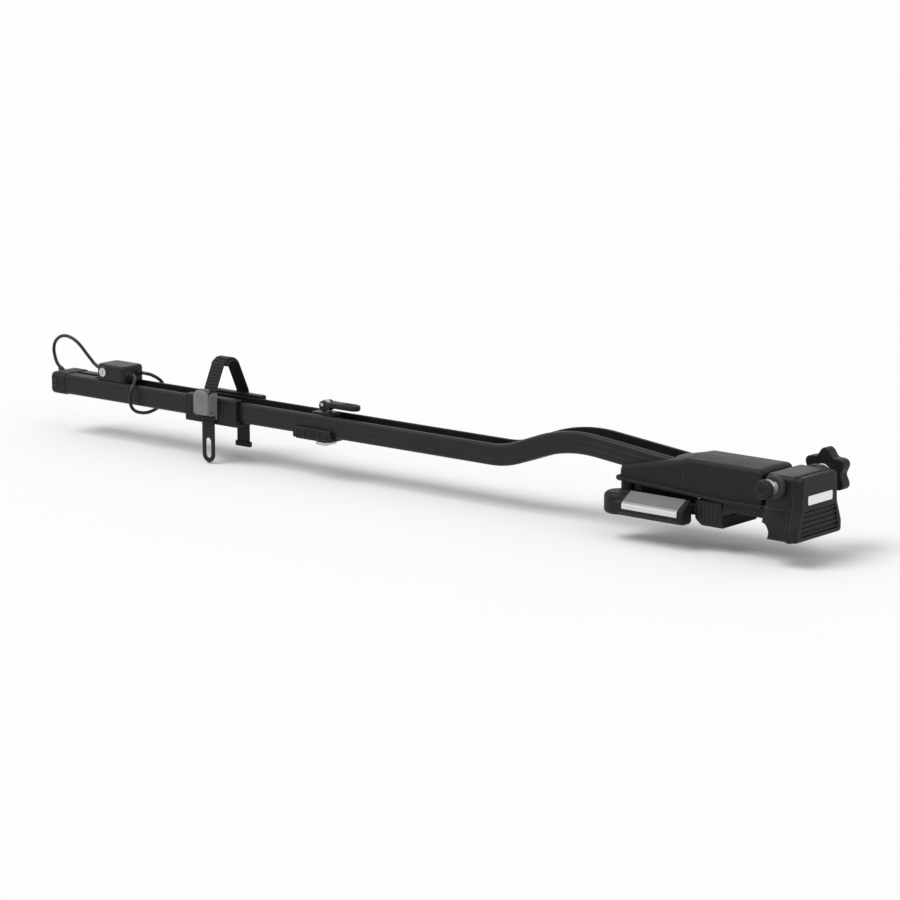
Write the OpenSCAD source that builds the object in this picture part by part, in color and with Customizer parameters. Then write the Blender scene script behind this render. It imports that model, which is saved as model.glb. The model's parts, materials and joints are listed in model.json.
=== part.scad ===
// Roof mounted bike carrier that holds a bike by its fork and its rear wheel.
// Millimetres. X runs forward along the car, Y to the car's left and Z up.
// The origin is on top of the front bar, under the middle of the carrier's front pad.
// "Near" is the right-hand side of the car, where the levers are, and "far" is the left-hand side.

/* [Roof bars] */
// Width of the wing-shaped bar that the clamps take
bar_w = 80; // [70:1:90]
// Height of the bar
bar_h = 26; // [24:1:28]
// Radius of the bar's front and rear edges
bar_nose_r = 10; // [9:0.5:11]
// Distance between the two bars
bar_spacing = 750; // [700:5:780]

/* [Rail] */
// Distance from the front bar back to the rail's rear end
rail_reach = 1270; // [1250:5:1285]
// Width of the rail
rail_w = 50; // [46:1:54]
// Height of the rail
rail_h = 30; // [28:0.5:34]
// Radius of the rail's outer corners
rail_r = 6; // [3:0.5:7]
// Wall of the hollow rail
rail_wall = 2.5; // [2:0.1:3]
// Width of the wheel groove
groove_w = 34; // [30:1:36]
// Depth of the wheel groove
groove_d = 16; // [12:0.5:18]
// Radius at the bottom of the wheel groove
groove_r = 5; // [2:0.5:8]
// Height of the rail's underside above the bars
rail_lift = 6; // [5:0.5:8]
// Distance behind the front bar at which the rail starts to rise
bend_start = 433; // [420:1:450]
// Steepest angle of the rise
rise_angle = 20; // [16:0.5:22]
// Length of the straight ramp in the rise
ramp_l = 40; // [30:1:50]
// Radius of the lower bend, at the rail's underside
valley_r = 150; // [120:5:180]
// Radius of the crest, at the rail's underside
crest_r = 200; // [170:5:220]
// Angle at which the rail runs down into the front unit
dip_angle = 6; // [4:0.5:7]
// Distance of the rail's front end behind the front bar
rail_nose = 96; // [90:1:99]
// Radius of the bolts that hold the rail
rail_bolt_r = 3; // [2.5:0.1:3.5]

/* [Rail end and cable lock] */
// Thickness of the end cap behind the rail
cap_t = 13; // [10:0.5:15]
// Length of the cap's tongue in the wheel groove
cap_tongue = 70; // [64:1:76]
// Length of the slot in the tongue
cap_slot_l = 47; // [40:1:52]
// Width of the slot in the tongue
cap_slot_w = 10; // [8:0.5:14]
// Depth of the slot in the tongue
cap_slot_d = 8; // [5:0.5:10]
// Diameter of the lock cable
cable_d = 5; // [4:0.2:6]
// Radius of the gland that the cable leaves
gland_r = 5; // [4:0.1:6]
// Length of the lock box
lock_l = 58; // [50:1:66]
// Width of the lock box
lock_w = 44; // [40:1:48]
// Height of the lock box
lock_h = 24; // [20:1:28]
// Radius of the key core
core_r = 6.5; // [5:0.1:8]
// Length of cable that stays inside the rail
stored_l = 230; // [150:5:300]

/* [Wheel strap] */
// Distance of the wheel strap behind the front bar
strap_back = 945; // [930:1:960]
// Length of the carriage along the rail
carriage_l = 100; // [90:1:110]
// Thickness of the carriage's cheeks
cheek_t = 6; // [5:0.5:8]
// Thickness of the carriage's floor
floor_t = 4; // [3:0.1:4.5]
// Thickness of the glides between carriage and rail
glide_t = 1.5; // [1:0.1:1.6]
// Width of the ladder strap
strap_w = 24; // [20:0.5:25]
// Thickness of the ladder strap
strap_t = 3; // [2.5:0.1:3.4]
// Inward lean of the strap above the rail
strap_lean = 25; // [20:1:28]
// Radius of the strap over the rim, at its middle
strap_top_r = 18; // [16:0.5:20]
// Length of the strap's tail below the bars' top
tail_drop = 55; // [45:1:70]
// Length of the strap's far end below the bars' top
end_drop = 43; // [36:1:50]
// Thickness of the rim pad
rim_pad_t = 4; // [3:0.5:5]
// Radius of the buckle's pins
buckle_pin_r = 2; // [1.6:0.1:2.4]

/* [Rear clamp] */
// Length of the rear saddle along the rail
saddle_l = 70; // [60:1:76]
// Thickness of the saddle under the rail
saddle_t = 4; // [3:0.1:4.5]
// Radius of the T-bolt's shank
tee_r = 4; // [3:0.1:4.4]
// Width of the T-bolt's head, across the bar's slot
tee_w = 18.5; // [17:0.5:20]
// Length of the T-bolt's head along the bar
tee_l = 24; // [20:1:28]
// Thickness of the T-bolt's head
tee_t = 4; // [3:0.5:5]
// Radius of the rear cam
cam_r = 8; // [7:0.1:8.5]
// Offset of the rear cam from its pin
cam_offset = 3; // [2:0.1:3.2]
// Radius of the rear cam's pin
cam_pin_r = 2.5; // [2:0.1:2.8]
// Length of the rear cam lever, forward of its pin
cam_lever_l = 62; // [50:1:80]

/* [Front base] */
// Width of the base's rim
deck_w = 82; // [78:1:86]
// Thickness of the base's deck
deck_t = 5; // [4:0.5:6]
// Height of the deck's underside above the bar
deck_lift = 12; // [11:0.5:13]
// Rise of the deck towards the rear
deck_rise = 8; // [6:0.5:9]
// Thickness of the rubber pad on the bar
bar_pad_t = 2; // [1.5:0.1:2.5]
// Thickness of the rubber in the claws
claw_pad_t = 2; // [1.5:0.1:2.5]
// Depth of the claws below the bar's top
claw_drop = 22; // [21:0.5:24]
// Distance of the housings' seam behind the front bar
seam_back = 102; // [100:1:110]
// Height of the housings above the bar
housing_top = 63; // [60:0.5:68]
// Height of the rear housing at its rear edge
housing_low = 42; // [38:0.5:48]
// Wall of the housings
housing_wall = 3; // [2.5:0.1:3.5]

/* [Front clamp] */
// Distance of the clamp lever's pin behind the front bar
lever_pin_back = 196; // [185:1:205]
// Radius of the clamp lever's pin
lever_pin_r = 4; // [3:0.1:5]
// Radius of the lever's cam
lever_cam_r = 14; // [13:0.1:15]
// Offset of the lever's cam from its pin
lever_cam_offset = 7; // [6:0.1:7.5]
// Width of the lever's arm
arm_w = 24; // [20:0.5:28]
// Distance of the lever's tip behind the front bar
arm_tip_back = 84; // [76:1:100]
// Radius of the lever's round rear end
lever_end_r = 21; // [19:0.5:21]
// Length of the jaw block along the rail
jaw_l = 42; // [38:1:46]
// Radius of the jaw's guide pins
guide_r = 2.5; // [2:0.1:2.8]

/* [Fork head] */
// Length of the head block
head_l = 42; // [38:1:48]
// Width of the head at its foot
head_foot_w = 104; // [98:1:110]
// Width of the head at its top
head_top_w = 80; // [74:1:84]
// Height of the head above the bar
head_top = 60; // [60:0.5:66]
// Thickness of the front cover
cover_t = 12; // [10:0.5:15]
// Distance of the fork axle in front of the front bar
axle_x = 46; // [44:0.5:52]
// Height of the fork axle above the bar
axle_z = 46; // [44:0.5:47]
// Distance between the fork's dropouts
fork_gap = 100; // [98:1:110]
// Room for the thickness of one dropout
dropout_t = 10; // [8:0.5:12]
// Radius of the axle where a dropout sits
axle_r = 5.95; // [5.9:0.05:7]
// Radius of the axle's thread
thread_r = 5; // [4:0.1:5.5]
// Radius of the axle sleeve
sleeve_r = 9; // [8.5:0.1:10]
// Radius of the dropout adapters
adapter_r = 15; // [13:0.5:16]
// Radius of the knob over its lobes
knob_r = 33; // [28:0.5:36]
// Thickness of the knob
knob_t = 18; // [16:0.5:22]
// Width of the badge plate
badge_w = 54; // [46:1:60]
// Height of the badge plate
badge_h = 12; // [10:0.5:14]

/* [Hidden] */
$fn = 96;

// Room between pieces that move past each other
gap = 0.3;
// Radial room of a pin or shaft that turns in its hole
run = 0.05;
// Extra length of a cut past the face that it leaves
over = 1;

// A range of a given half length about a middle, and a range moved by an amount
function span(middle, half) = [middle - half, middle + half];
function moved(by, range) = [by + range[0], by + range[1]];

// Rail section and path
rail_z = rail_lift;
rail_top = rail_z + rail_h;
groove_z = rail_top - groove_d;
cavity_h = rail_h - groove_d - 2 * rail_wall;
cavity_w = rail_w - 2 * rail_wall;
cavity_r = min(3, cavity_h / 2 - 0.5);
rear_end_x = -rail_reach;
ramp_x = -bend_start + valley_r * sin(rise_angle);
ramp_z = rail_z + valley_r * (1 - cos(rise_angle));
crest_x = ramp_x + ramp_l * cos(rise_angle) + crest_r * sin(rise_angle);
crest_z = ramp_z + ramp_l * sin(rise_angle) - crest_r * cos(rise_angle);
dip_x = crest_x + crest_r * sin(dip_angle);
dip_z = crest_z + crest_r * cos(dip_angle);
dip_l = (-rail_nose - dip_x) / cos(dip_angle);
function rail_under(x) = dip_z - (x - dip_x) * tan(dip_angle);

// Cable lock
gland_x = rear_end_x - 6;
gland_z = rail_top - 10;
gland_reach = 14;
lock_x = rear_end_x + 80;
lock_z = rail_top;
core_x = lock_x + lock_l / 4;
core_z = lock_z + lock_h / 2;
cable_sides = 10;
lock_cable_points = [
    [-20, 0, 4], [-26, 0, 10], [-29, -1, 19], [-29, -3, 30], [-25, -5, 40], [-17, -7, 48], [-8, -8, 53],
    [2, -8, 55], [12, -8, 54], [22, -7, 50], [32, -6, 43], [40, -4, 34], [48, -2, 25], [57, -1, 17],
    [68, 0, 12], [80, 0, 12]
];
lock_cable_route = [for (p = lock_cable_points) [rear_end_x + p[0], p[1], rail_top + p[2]]];
noose_points = [
    [0, -12, 12], [9, -12, 12], [18, -17, 10], [24, -24, 5], [27, -30, -1], [27, -35, -10],
    [27, -36, -20], [27, -33, -30], [27, -26, -37], [27, -16, -41], [27, -5, -43]
];
noose_near_half = [for (p = noose_points) [lock_x + lock_l + p[0], p[1], rail_top + p[2]]];
lock_noose_route = concat(noose_near_half, [
    for (i = [len(noose_near_half) - 1:-1:0])
        [noose_near_half[i][0], -noose_near_half[i][1], noose_near_half[i][2]]
]);
stored_z = rail_z + rail_wall + cavity_h / 2;
stop_l = 12;

// Wheel strap and its carriage
strap_x = -strap_back;
cheek_in = rail_w / 2 + gap + glide_t;
cheek_out = cheek_in + cheek_t;
floor_z = rail_z - gap - glide_t;
lip_t = 3.5;
lip_in = groove_w / 2 + 2;
lip_top = rail_top + gap + lip_t;
frame_plate_t = 1.8;
strap_y = cheek_out + frame_plate_t + 0.4 + strap_t / 2;
strap_bend_r = 25;
strap_bend_z = rail_top - 2;
slant_l = (strap_y - strap_bend_r * (1 - cos(strap_lean)) - strap_top_r * cos(strap_lean)) / sin(strap_lean);
arch_z = strap_bend_z + (strap_bend_r - strap_top_r) * sin(strap_lean) + slant_l * cos(strap_lean);
tooth_h = 1.2;
tooth_pitch = 5;
frame_in = strap_w / 2 + 0.5;
ear_t = 2;
frame_out = frame_in + ear_t;
frame_low = 8;
frame_high = rail_top;
ear_r = 5;
ear_high = rail_top + 11;
teeth_y = strap_y + strap_t / 2 + tooth_h;
ratchet_pin_z = 20;
ratchet_pin_y = teeth_y + 5.5;
pawl_pin_z = rail_top + 5;
pawl_pin_y = teeth_y + 4;
ear_y = ratchet_pin_y + ear_r;
ratchet_t = 3.5;
ratchet_barrel_r = 4;
pawl_barrel_r = 3.4;
pawl_wire = 0.4;
ratchet_h = 32;

// Rear clamp
rear_x = -bar_spacing;
saddle_w = rail_w + 14;
saddle_pad_t = rail_lift - saddle_t;
saddle_cheek_h = 12;
block_l = 36;
wear_t = 2;
cam_seat_z = rail_top + wear_t;
cam_lead = 35;
cam_room = 0.5;
cam_pin_z = cam_seat_z + cam_room + cam_r + cam_offset * cos(cam_lead);
eye_w = 8;
eye_r = 6;
fork_t = 4.5;
grip_t = 8;
cam_lever_w = eye_w + 2 * (gap + fork_t);
bolt_drop = 5;

// Front unit, from the bar backwards
nose_x = bar_w / 2 - bar_nose_r;
nose_z = -bar_h / 2;
claw_r = bar_nose_r + claw_pad_t;
seat_rear_x = -(bar_w / 2 - 2);
pin_x = -lever_pin_back;
pin_y = -(deck_w / 2 - 13);
deck_rear_x = pin_x - 16;
function deck_under(x) = deck_lift + deck_rise * (seat_rear_x - x) / (seat_rear_x - deck_rear_x);
function deck_over(x) = deck_under(x) + deck_t;
seat_top = deck_lift + deck_t;
seat_w = 76;
housing_w = deck_w - 10;
housing_rear_x = deck_rear_x + 4;
seam_x = -seam_back;
housing_front_x = nose_x - 10;
cradle_w = rail_w - 10;
boss_r = 4;
screw_r = 2;
screw_in = 7;
screw_ahead = 32;
screw_sites = [
    [housing_rear_x + screw_ahead, -1], [housing_rear_x + screw_ahead, 1],
    [seam_x + screw_in, -1], [seam_x + screw_in, 1]
];
screw_y = housing_w / 2 - housing_wall - boss_r + 1;
rail_bolt_at = [30, 12];

// Front clamp
jaw_front_x = -bar_w / 2;
jaw_rear_x = jaw_front_x - jaw_l;
jaw_top = deck_lift - 0.5;
lever_cam_lead = 30;
cam_reach = lever_cam_r + lever_cam_offset * cos(lever_cam_lead);
lever_cam_room = 0.9;
push_rear_x = pin_x + cam_reach + lever_cam_room;
push_w = 18;
push_z = [-10, 4];
arm_in = deck_w / 2 + 1;
arm_out = arm_in + arm_w;
arm_low = -claw_drop + 1;
arm_top = deck_lift - 2;
arm_tip_x = -arm_tip_back;
barrel_r = 9;
barrel_top = deck_under(pin_x + barrel_r) - 0.5;
inlay_t = 1.5;
inlay_rear_x = pin_x + 18;
inlay_front_x = arm_tip_x - 6;
guide_y = 26;
guide_z = 5;
guide_l = 48;
guide_set = 8;
spring_r = 3.4;
spring_wire = 0.5;
spring_pocket_r = 4.2;
spring_pocket = 14;

// Fork head
head_rear_x = nose_x;
head_front_x = head_rear_x + head_l;
cover_x = head_front_x + cover_t;
head_foot_z = -claw_drop;
head_waist_z = 20;
head_bolt_r = 4;
head_bolt_y = 24;
head_bolt_x = head_front_x - 12;
half_fork = fork_gap / 2;
adapter_in = head_top_w / 2 + 1.5;
cup_t = 5;
cup_y = half_fork + dropout_t + gap;
knob_y = cup_y + cup_t + gap;
hub_r = 9;
hub_l = knob_t - 5;
lobes = 6;
lobe_r = 8;
cap_r = 17;
badge_z = 30;
badge_t = 1.2;
cover_screw_y = badge_w / 4;

// A rounded rectangle about its middle
module round_rect(w, h, r) {
    square([w - 2 * r, h], center = true);
    square([w, h - 2 * r], center = true);
    for (sx = [-1, 1], sy = [-1, 1])
        translate([sx * (w / 2 - r), sy * (h / 2 - r)]) circle(r);
}

// Part of a flat ring between two angles
module ring_sector(r0, r1, a0, a1) {
    reach = 2 * r1;
    step = (a1 - a0) / 3;
    intersection() {
        difference() {
            circle(r1);
            circle(r0);
        }
        polygon(concat([[0, 0]], [for (i = [0:3]) reach * [cos(a0 + i * step), sin(a0 + i * step)]]));
    }
}

// A shape drawn in Y and Z, drawn out along X
module along_x(x0, x1) {
    translate([x0, 0, 0]) rotate([90, 0, 90]) linear_extrude(x1 - x0) children();
}

// A shape drawn in X and Z, drawn out along Y
module along_y(y0, y1) {
    translate([0, y1, 0]) rotate([90, 0, 0]) linear_extrude(y1 - y0) children();
}

module rod_x(r, x0, x1, y, z) {
    translate([x0, y, z]) rotate([0, 90, 0]) cylinder(r = r, h = x1 - x0);
}

module rod_y(r, y0, y1, x, z) {
    translate([x, y0, z]) rotate([-90, 0, 0]) cylinder(r = r, h = y1 - y0);
}

module rod_z(r, z0, z1, x, y) {
    translate([x, y, z0]) cylinder(r = r, h = z1 - z0);
}

module block(x, y, z) {
    translate([x[0], y[0], z[0]]) cube([x[1] - x[0], y[1] - y[0], z[1] - z[0]]);
}

// A round tube along a list of points
function unit(v) = v / norm(v);
function heading(path, i) = unit(path[min(i + 1, len(path) - 1)] - path[max(i - 1, 0)]);
function carried(v, t) = unit(v - t * (v * t));
function sides_of(path, i, start) =
    i == 0 ? carried(start, heading(path, 0)) : carried(sides_of(path, i - 1, start), heading(path, i));
module tube(path, r, sides, start) {
    n = len(path);
    points = [
        for (i = [0:n - 1])
            let (u = sides_of(path, i, start), v = cross(heading(path, i), u))
            for (k = [0:sides - 1])
                path[i] + r * (cos(360 * k / sides) * u + sin(360 * k / sides) * v)
    ];
    walls = [
        for (i = [0:n - 2], k = [0:sides - 1])
            let (a = i * sides + k, b = i * sides + (k + 1) % sides)
            [a, a + sides, b + sides, b]
    ];
    ends = [
        [for (k = [0:sides - 1]) k],
        [for (k = [sides - 1:-1:0]) (n - 1) * sides + k]
    ];
    polyhedron(points, concat(walls, ends), convexity = 10);
}

// A coil spring along X, from x = 0
module coil(r, wire, length, turns) {
    steps = 14;
    count = turns * steps;
    path = [
        for (i = [0:count])
            [wire + (length - 2 * wire) * i / count, r * cos(360 * i / steps), r * sin(360 * i / steps)]
    ];
    tube(path, wire, 6, [1, 0, 0]);
}

// Rail: hollow section with a wheel groove, bent up and over into the front unit
module rail_outline(grow = 0) {
    translate([0, rail_h / 2]) round_rect(rail_w + 2 * grow, rail_h + 2 * grow, rail_r + grow);
}

module groove_shape(shrink = 0) {
    translate([0, rail_h]) round_rect(groove_w - 2 * shrink, 2 * (groove_d - shrink), groove_r);
}

module cavity_shape(shrink = 0) {
    translate([0, rail_wall + cavity_h / 2])
        round_rect(cavity_w - 2 * shrink, cavity_h - 2 * shrink, cavity_r);
}

module rail_section() {
    difference() {
        rail_outline();
        groove_shape();
        cavity_shape();
    }
}

// Moves its children in X and Z, with whole and part millimetres apart to keep the last digits
module at_xz(x, z) {
    translate([floor(x), 0, floor(z)]) translate([x - floor(x), 0, z - floor(z)]) children();
}

// Places its children on the straight that runs down into the front unit
module on_dip() {
    at_xz(dip_x, dip_z) rotate([0, dip_angle, 0]) children();
}

module rail_bolt_places() {
    on_dip() for (d = rail_bolt_at) translate([dip_l - d, 0, 0]) children();
}

// Part of the crest, from its top backwards
module crest(angle) {
    rotate([90, 0, 0]) rotate([0, 0, 90]) rotate_extrude(angle = angle, $fn = 360)
        translate([crest_r, 0]) rotate(-90) rail_section();
}

module rail() color([0.06, 0.06, 0.065]) difference() {
    union() {
        translate([0, 0, rail_z]) along_x(rear_end_x, -bend_start) rail_section();
        translate([-bend_start, 0, rail_z + valley_r]) rotate([90, 0, 0]) rotate([0, 0, -90])
            rotate_extrude(angle = rise_angle, $fn = 360) translate([valley_r, 0]) rotate(90) rail_section();
        at_xz(ramp_x, ramp_z) rotate([0, -rise_angle, 0]) along_x(0, ramp_l) rail_section();
        at_xz(crest_x, crest_z) {
            crest(rise_angle);
            mirror([1, 0, 0]) crest(dip_angle);
        }
        on_dip() along_x(0, dip_l) rail_section();
    }
    rod_z(tee_r + gap, rail_z - over, rail_top, rear_x, 0);
    rail_bolt_places() rod_z(rail_bolt_r + run, -over, rail_h, 0, 0);
}

module rail_bolts() color([0.55, 0.55, 0.57]) rail_bolt_places() {
    rod_z(rail_bolt_r, -5, rail_h - groove_d + over, 0, 0);
    rod_z(2 * rail_bolt_r, rail_h - groove_d, rail_h - groove_d + rail_bolt_r, 0, 0);
}

// End cap: plugs the rail's end and fills the groove there, with a slot in its top
module along_gland(r, l0, l1) {
    translate([gland_x, 0, gland_z]) rotate([0, -45, 0]) translate([0, 0, l0]) cylinder(r = r, h = l1 - l0);
}

module rail_end_cap() color([0.09, 0.09, 0.095]) difference() {
    union() {
        translate([0, 0, rail_z]) along_x(rear_end_x - cap_t, rear_end_x) rail_outline();
        translate([0, 0, rail_z]) along_x(rear_end_x - over, rear_end_x + cap_tongue) intersection() {
            rail_outline();
            groove_shape(run);
        }
        translate([0, 0, rail_z]) along_x(rear_end_x - over, rear_end_x + cap_t) cavity_shape(run);
    }
    block(
        moved(rear_end_x + cap_tongue - 4, [-cap_slot_l, 0]),
        [-cap_slot_w / 2, cap_slot_w / 2],
        [rail_top - cap_slot_d, rail_top + over]
    );
    along_gland(gland_r + run, 0, 3 * gland_reach);
    rod_x(cable_d / 2 + run, rear_end_x, rear_end_x + cap_t + over, 0, stored_z);
}

module cable_gland() color([0.2, 0.2, 0.21]) along_gland(gland_r, 0, gland_reach * sqrt(2));

// Lock cable, its stored length in the rail, and the lock that closes its noose
module lock_cable() color([0.05, 0.05, 0.05]) tube(lock_cable_route, cable_d / 2, cable_sides, [0, 1, 0]);

module lock_noose() color([0.05, 0.05, 0.05]) tube(lock_noose_route, cable_d / 2, cable_sides, [0, 0, 1]);

module stored_cable() color([0.05, 0.05, 0.05])
    rod_x(cable_d / 2, rear_end_x, rear_end_x + stored_l, 0, stored_z);

module cable_stop() color([0.7, 0.6, 0.3])
    rod_x(cavity_h / 2, rear_end_x + stored_l, rear_end_x + stored_l + stop_l, 0, stored_z);

module lock_box() color([0.07, 0.07, 0.075]) difference() {
    translate([lock_x + lock_l / 2, 0, lock_z]) linear_extrude(lock_h) round_rect(lock_l, lock_w, 8);
    rod_y(core_r + run, -lock_w / 2 - over, -lock_w / 2 + 2 * core_r + gap, core_x, core_z);
}

module lock_core() color([0.75, 0.75, 0.77]) difference() {
    rod_y(core_r, -lock_w / 2 - 0.8, -lock_w / 2 + 2 * core_r, core_x, core_z);
    block(span(core_x, 0.7), moved(-lock_w / 2, [-2, 4]), span(core_z, core_r / 2));
}

// Wheel strap carriage: a channel round the rail, with a guide for the strap on its far side
module wheel_carriage() color([0.08, 0.08, 0.085]) difference() {
    union() {
        along_x(strap_x - carriage_l / 2, strap_x + carriage_l / 2) {
            translate([0, floor_z - floor_t / 2]) square([2 * cheek_out, floor_t], center = true);
            for (s = [-1, 1]) {
                translate([s * (cheek_in + cheek_out) / 2, (floor_z - floor_t + lip_top) / 2])
                    square([cheek_t, lip_top - floor_z + floor_t], center = true);
                translate([s * (lip_in + cheek_out) / 2, lip_top - lip_t / 2])
                    square([cheek_out - lip_in, lip_t], center = true);
            }
        }
        block(
            span(strap_x, frame_out),
            [cheek_out - over, strap_y + strap_t / 2 + 4],
            [frame_low, strap_bend_z - 2]
        );
    }
    block(
        span(strap_x, strap_w / 2 + gap),
        [strap_y - strap_t / 2, strap_y + strap_t / 2 + 2 * gap],
        [frame_low - over, strap_bend_z]
    );
    for (s = [-1, 1])
        rod_y(screw_r, -cheek_out - over, -cheek_in + over, strap_x, buckle_screw_z(s));
}

module carriage_glides() color([0.85, 0.85, 0.82]) {
    for (s = [-1, 1])
        block(
            span(strap_x, carriage_l / 2 - 8),
            span(s * (cheek_in - glide_t / 2), glide_t / 2),
            [rail_z + rail_r, rail_top - rail_r]
        );
    block(
        span(strap_x, carriage_l / 2 - 8),
        (rail_w / 2 - rail_r) * [-1, 1],
        [floor_z, floor_z + glide_t]
    );
}

// Ladder strap: tail with a finger loop, up through the buckle, over the rim and down the far side
module strap_half() {
    translate([strap_y - strap_bend_r, strap_bend_z])
        ring_sector(strap_bend_r - strap_t / 2, strap_bend_r + strap_t / 2, 0, strap_lean);
    translate([strap_y - strap_bend_r * (1 - cos(strap_lean)), strap_bend_z + strap_bend_r * sin(strap_lean)])
        rotate(strap_lean) translate([-strap_t / 2, 0]) square([strap_t, slant_l]);
    translate([0, arch_z])
        ring_sector(strap_top_r - strap_t / 2, strap_top_r + strap_t / 2, strap_lean, 90);
}

module rim_strap() color([0.07, 0.07, 0.07]) difference() {
    union() {
        along_x(strap_x - strap_w / 2, strap_x + strap_w / 2) {
            for (s = [0, 1]) mirror([s, 0]) strap_half();
            translate([-strap_y - strap_t / 2, -tail_drop + strap_w / 2])
                square([strap_t, strap_bend_z + tail_drop - strap_w / 2]);
            translate([strap_y - strap_t / 2, -end_drop]) square([strap_t, strap_bend_z + end_drop]);
            for (z = [-tail_drop + strap_w + 14 : tooth_pitch : strap_bend_z - tooth_pitch])
                translate([-strap_y - strap_t / 2 - tooth_h, z]) square([tooth_h + 0.1, tooth_pitch / 2]);
        }
        rod_y(strap_w / 2, -strap_y - strap_t / 2, -strap_y + strap_t / 2, strap_x, -tail_drop + strap_w / 2);
        block(
            span(strap_x, strap_w / 2 + 2),
            span(strap_y, strap_t / 2 + 2),
            [-end_drop, -end_drop + 8]
        );
    }
    for (z = [-tail_drop + strap_w / 2, -tail_drop + strap_w + 6])
        rod_y(strap_w / 2 - 6, -strap_y - strap_t, -strap_y + strap_t, strap_x, z);
    block(
        span(strap_x, strap_w / 2 - 6),
        span(-strap_y, strap_t),
        moved(-tail_drop, [strap_w / 2, strap_w + 6])
    );
}

module rim_pad() color([0.1, 0.1, 0.1])
    along_x(strap_x - strap_w / 2 - 4, strap_x + strap_w / 2 + 4) translate([0, arch_z])
        ring_sector(strap_top_r - strap_t / 2 - rim_pad_t, strap_top_r - strap_t / 2, 35, 145);

// Ratchet buckle on the near cheek
function buckle_screw_z(s) = (frame_low + frame_high) / 2 + 9 * s;
module buckle_frame() color([0.5, 0.5, 0.51]) difference() {
    union() {
        block(
            span(strap_x, frame_out),
            [-cheek_out - frame_plate_t, -cheek_out],
            [frame_low, frame_high]
        );
        for (s = [-1, 1]) {
            x = span(strap_x + s * (frame_in + ear_t / 2), ear_t / 2);
            block(x, [-ear_y, -cheek_out], [ratchet_pin_z, ear_high]);
            block(x, [-ratchet_pin_y, -cheek_out], [ratchet_pin_z - ear_r, ear_high]);
            rod_x(ear_r, x[0], x[1], -ratchet_pin_y, ratchet_pin_z);
        }
    }
    for (s = [-1, 1])
        rod_y(screw_r + run, -strap_y, -cheek_out + over, strap_x, buckle_screw_z(s));
    buckle_pin_rods(buckle_pin_r + run / 5, over);
}

module buckle_pin_rods(r, extra = 0) {
    for (p = [[ratchet_pin_y, ratchet_pin_z], [pawl_pin_y, pawl_pin_z]])
        rod_x(r, strap_x - frame_out - extra, strap_x + frame_out + extra, -p[0], p[1]);
}

module buckle_pins() color([0.7, 0.7, 0.72]) buckle_pin_rods(buckle_pin_r);

module buckle_screws() color([0.6, 0.6, 0.62]) for (s = [-1, 1])
    rod_y(screw_r, -cheek_out - frame_plate_t, -cheek_in, strap_x, buckle_screw_z(s));

module ratchet_lever() color([0.62, 0.62, 0.63]) difference() {
    plate_y = -ear_y - gap;
    inside = frame_in - gap;
    union() {
        rod_x(ratchet_barrel_r, strap_x - inside, strap_x + inside, -ratchet_pin_y, ratchet_pin_z);
        block(
            span(strap_x, frame_out),
            [plate_y - ratchet_t, plate_y],
            moved(ratchet_pin_z, [-2, ratchet_h])
        );
        block(
            span(strap_x, inside),
            [plate_y - over, -ratchet_pin_y - over],
            moved(ratchet_pin_z, [-2, 12])
        );
    }
    rod_x(buckle_pin_r + run, strap_x - frame_out, strap_x + frame_out, -ratchet_pin_y, ratchet_pin_z);
}

module buckle_pawl() color([0.55, 0.55, 0.56]) difference() {
    union() {
        rod_x(pawl_barrel_r, strap_x - frame_in + gap, strap_x + frame_in - gap, -pawl_pin_y, pawl_pin_z);
        block(
            span(strap_x, frame_in - 4),
            moved(-pawl_pin_y, [-2, 1.5]),
            moved(pawl_pin_z, [0, 12])
        );
    }
    rod_x(buckle_pin_r + run, strap_x - frame_out, strap_x + frame_out, -pawl_pin_y, pawl_pin_z);
    rod_x(pawl_barrel_r + 0.6, strap_x - 5, strap_x + 5, -pawl_pin_y, pawl_pin_z);
}

module pawl_spring() color([0.75, 0.75, 0.77])
    translate([strap_x - 4, -pawl_pin_y, pawl_pin_z]) coil(buckle_pin_r + pawl_wire, pawl_wire, 8, 4);

// Rear clamp: saddle on the bar, T-bolt through the rail and a cam lever on top
module rear_saddle() color([0.08, 0.08, 0.085]) difference() {
    along_x(rear_x - saddle_l / 2, rear_x + saddle_l / 2) {
        translate([0, rail_z - saddle_t / 2]) square([saddle_w, saddle_t], center = true);
        for (s = [-1, 1])
            translate([s * (saddle_w / 2 + rail_w / 2) / 2, rail_z + saddle_cheek_h / 2 - over / 2])
                square([(saddle_w - rail_w) / 2, saddle_cheek_h + over], center = true);
    }
    rod_z(tee_r + gap, -over, rail_z + over, rear_x, 0);
}

module rear_saddle_pad() color([0.05, 0.05, 0.05]) difference() {
    translate([rear_x, 0, 0]) linear_extrude(saddle_pad_t) round_rect(saddle_l - 4, saddle_w - 4, 4);
    rod_z(tee_r + 3, -over, saddle_pad_t + over, rear_x, 0);
}

module rear_cam_block() color([0.08, 0.08, 0.085]) difference() {
    block(
        span(rear_x, block_l / 2),
        (groove_w / 2 - groove_r) * [-1, 1],
        [groove_z, rail_top]
    );
    rod_z(tee_r + gap, groove_z - over, rail_top + over, rear_x, 0);
}

module rear_wear_plate() color([0.65, 0.65, 0.66]) difference() {
    block(
        span(rear_x, block_l / 2 - 2),
        (groove_w / 2 - groove_r) * [-1, 1],
        [rail_top, cam_seat_z]
    );
    rod_z(tee_r + gap, rail_top - over, cam_seat_z + over, rear_x, 0);
}

module rear_tee_bolt() color([0.7, 0.7, 0.72]) difference() {
    union() {
        rod_z(tee_r, -bolt_drop, cam_pin_z, rear_x, 0);
        rod_y(eye_r, -eye_w / 2, eye_w / 2, rear_x, cam_pin_z);
        block(span(rear_x, tee_w / 2), tee_l / 2 * [-1, 1], [-bolt_drop - tee_t, -bolt_drop]);
    }
    rod_y(cam_pin_r, -eye_w, eye_w, rear_x, cam_pin_z);
}

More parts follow.
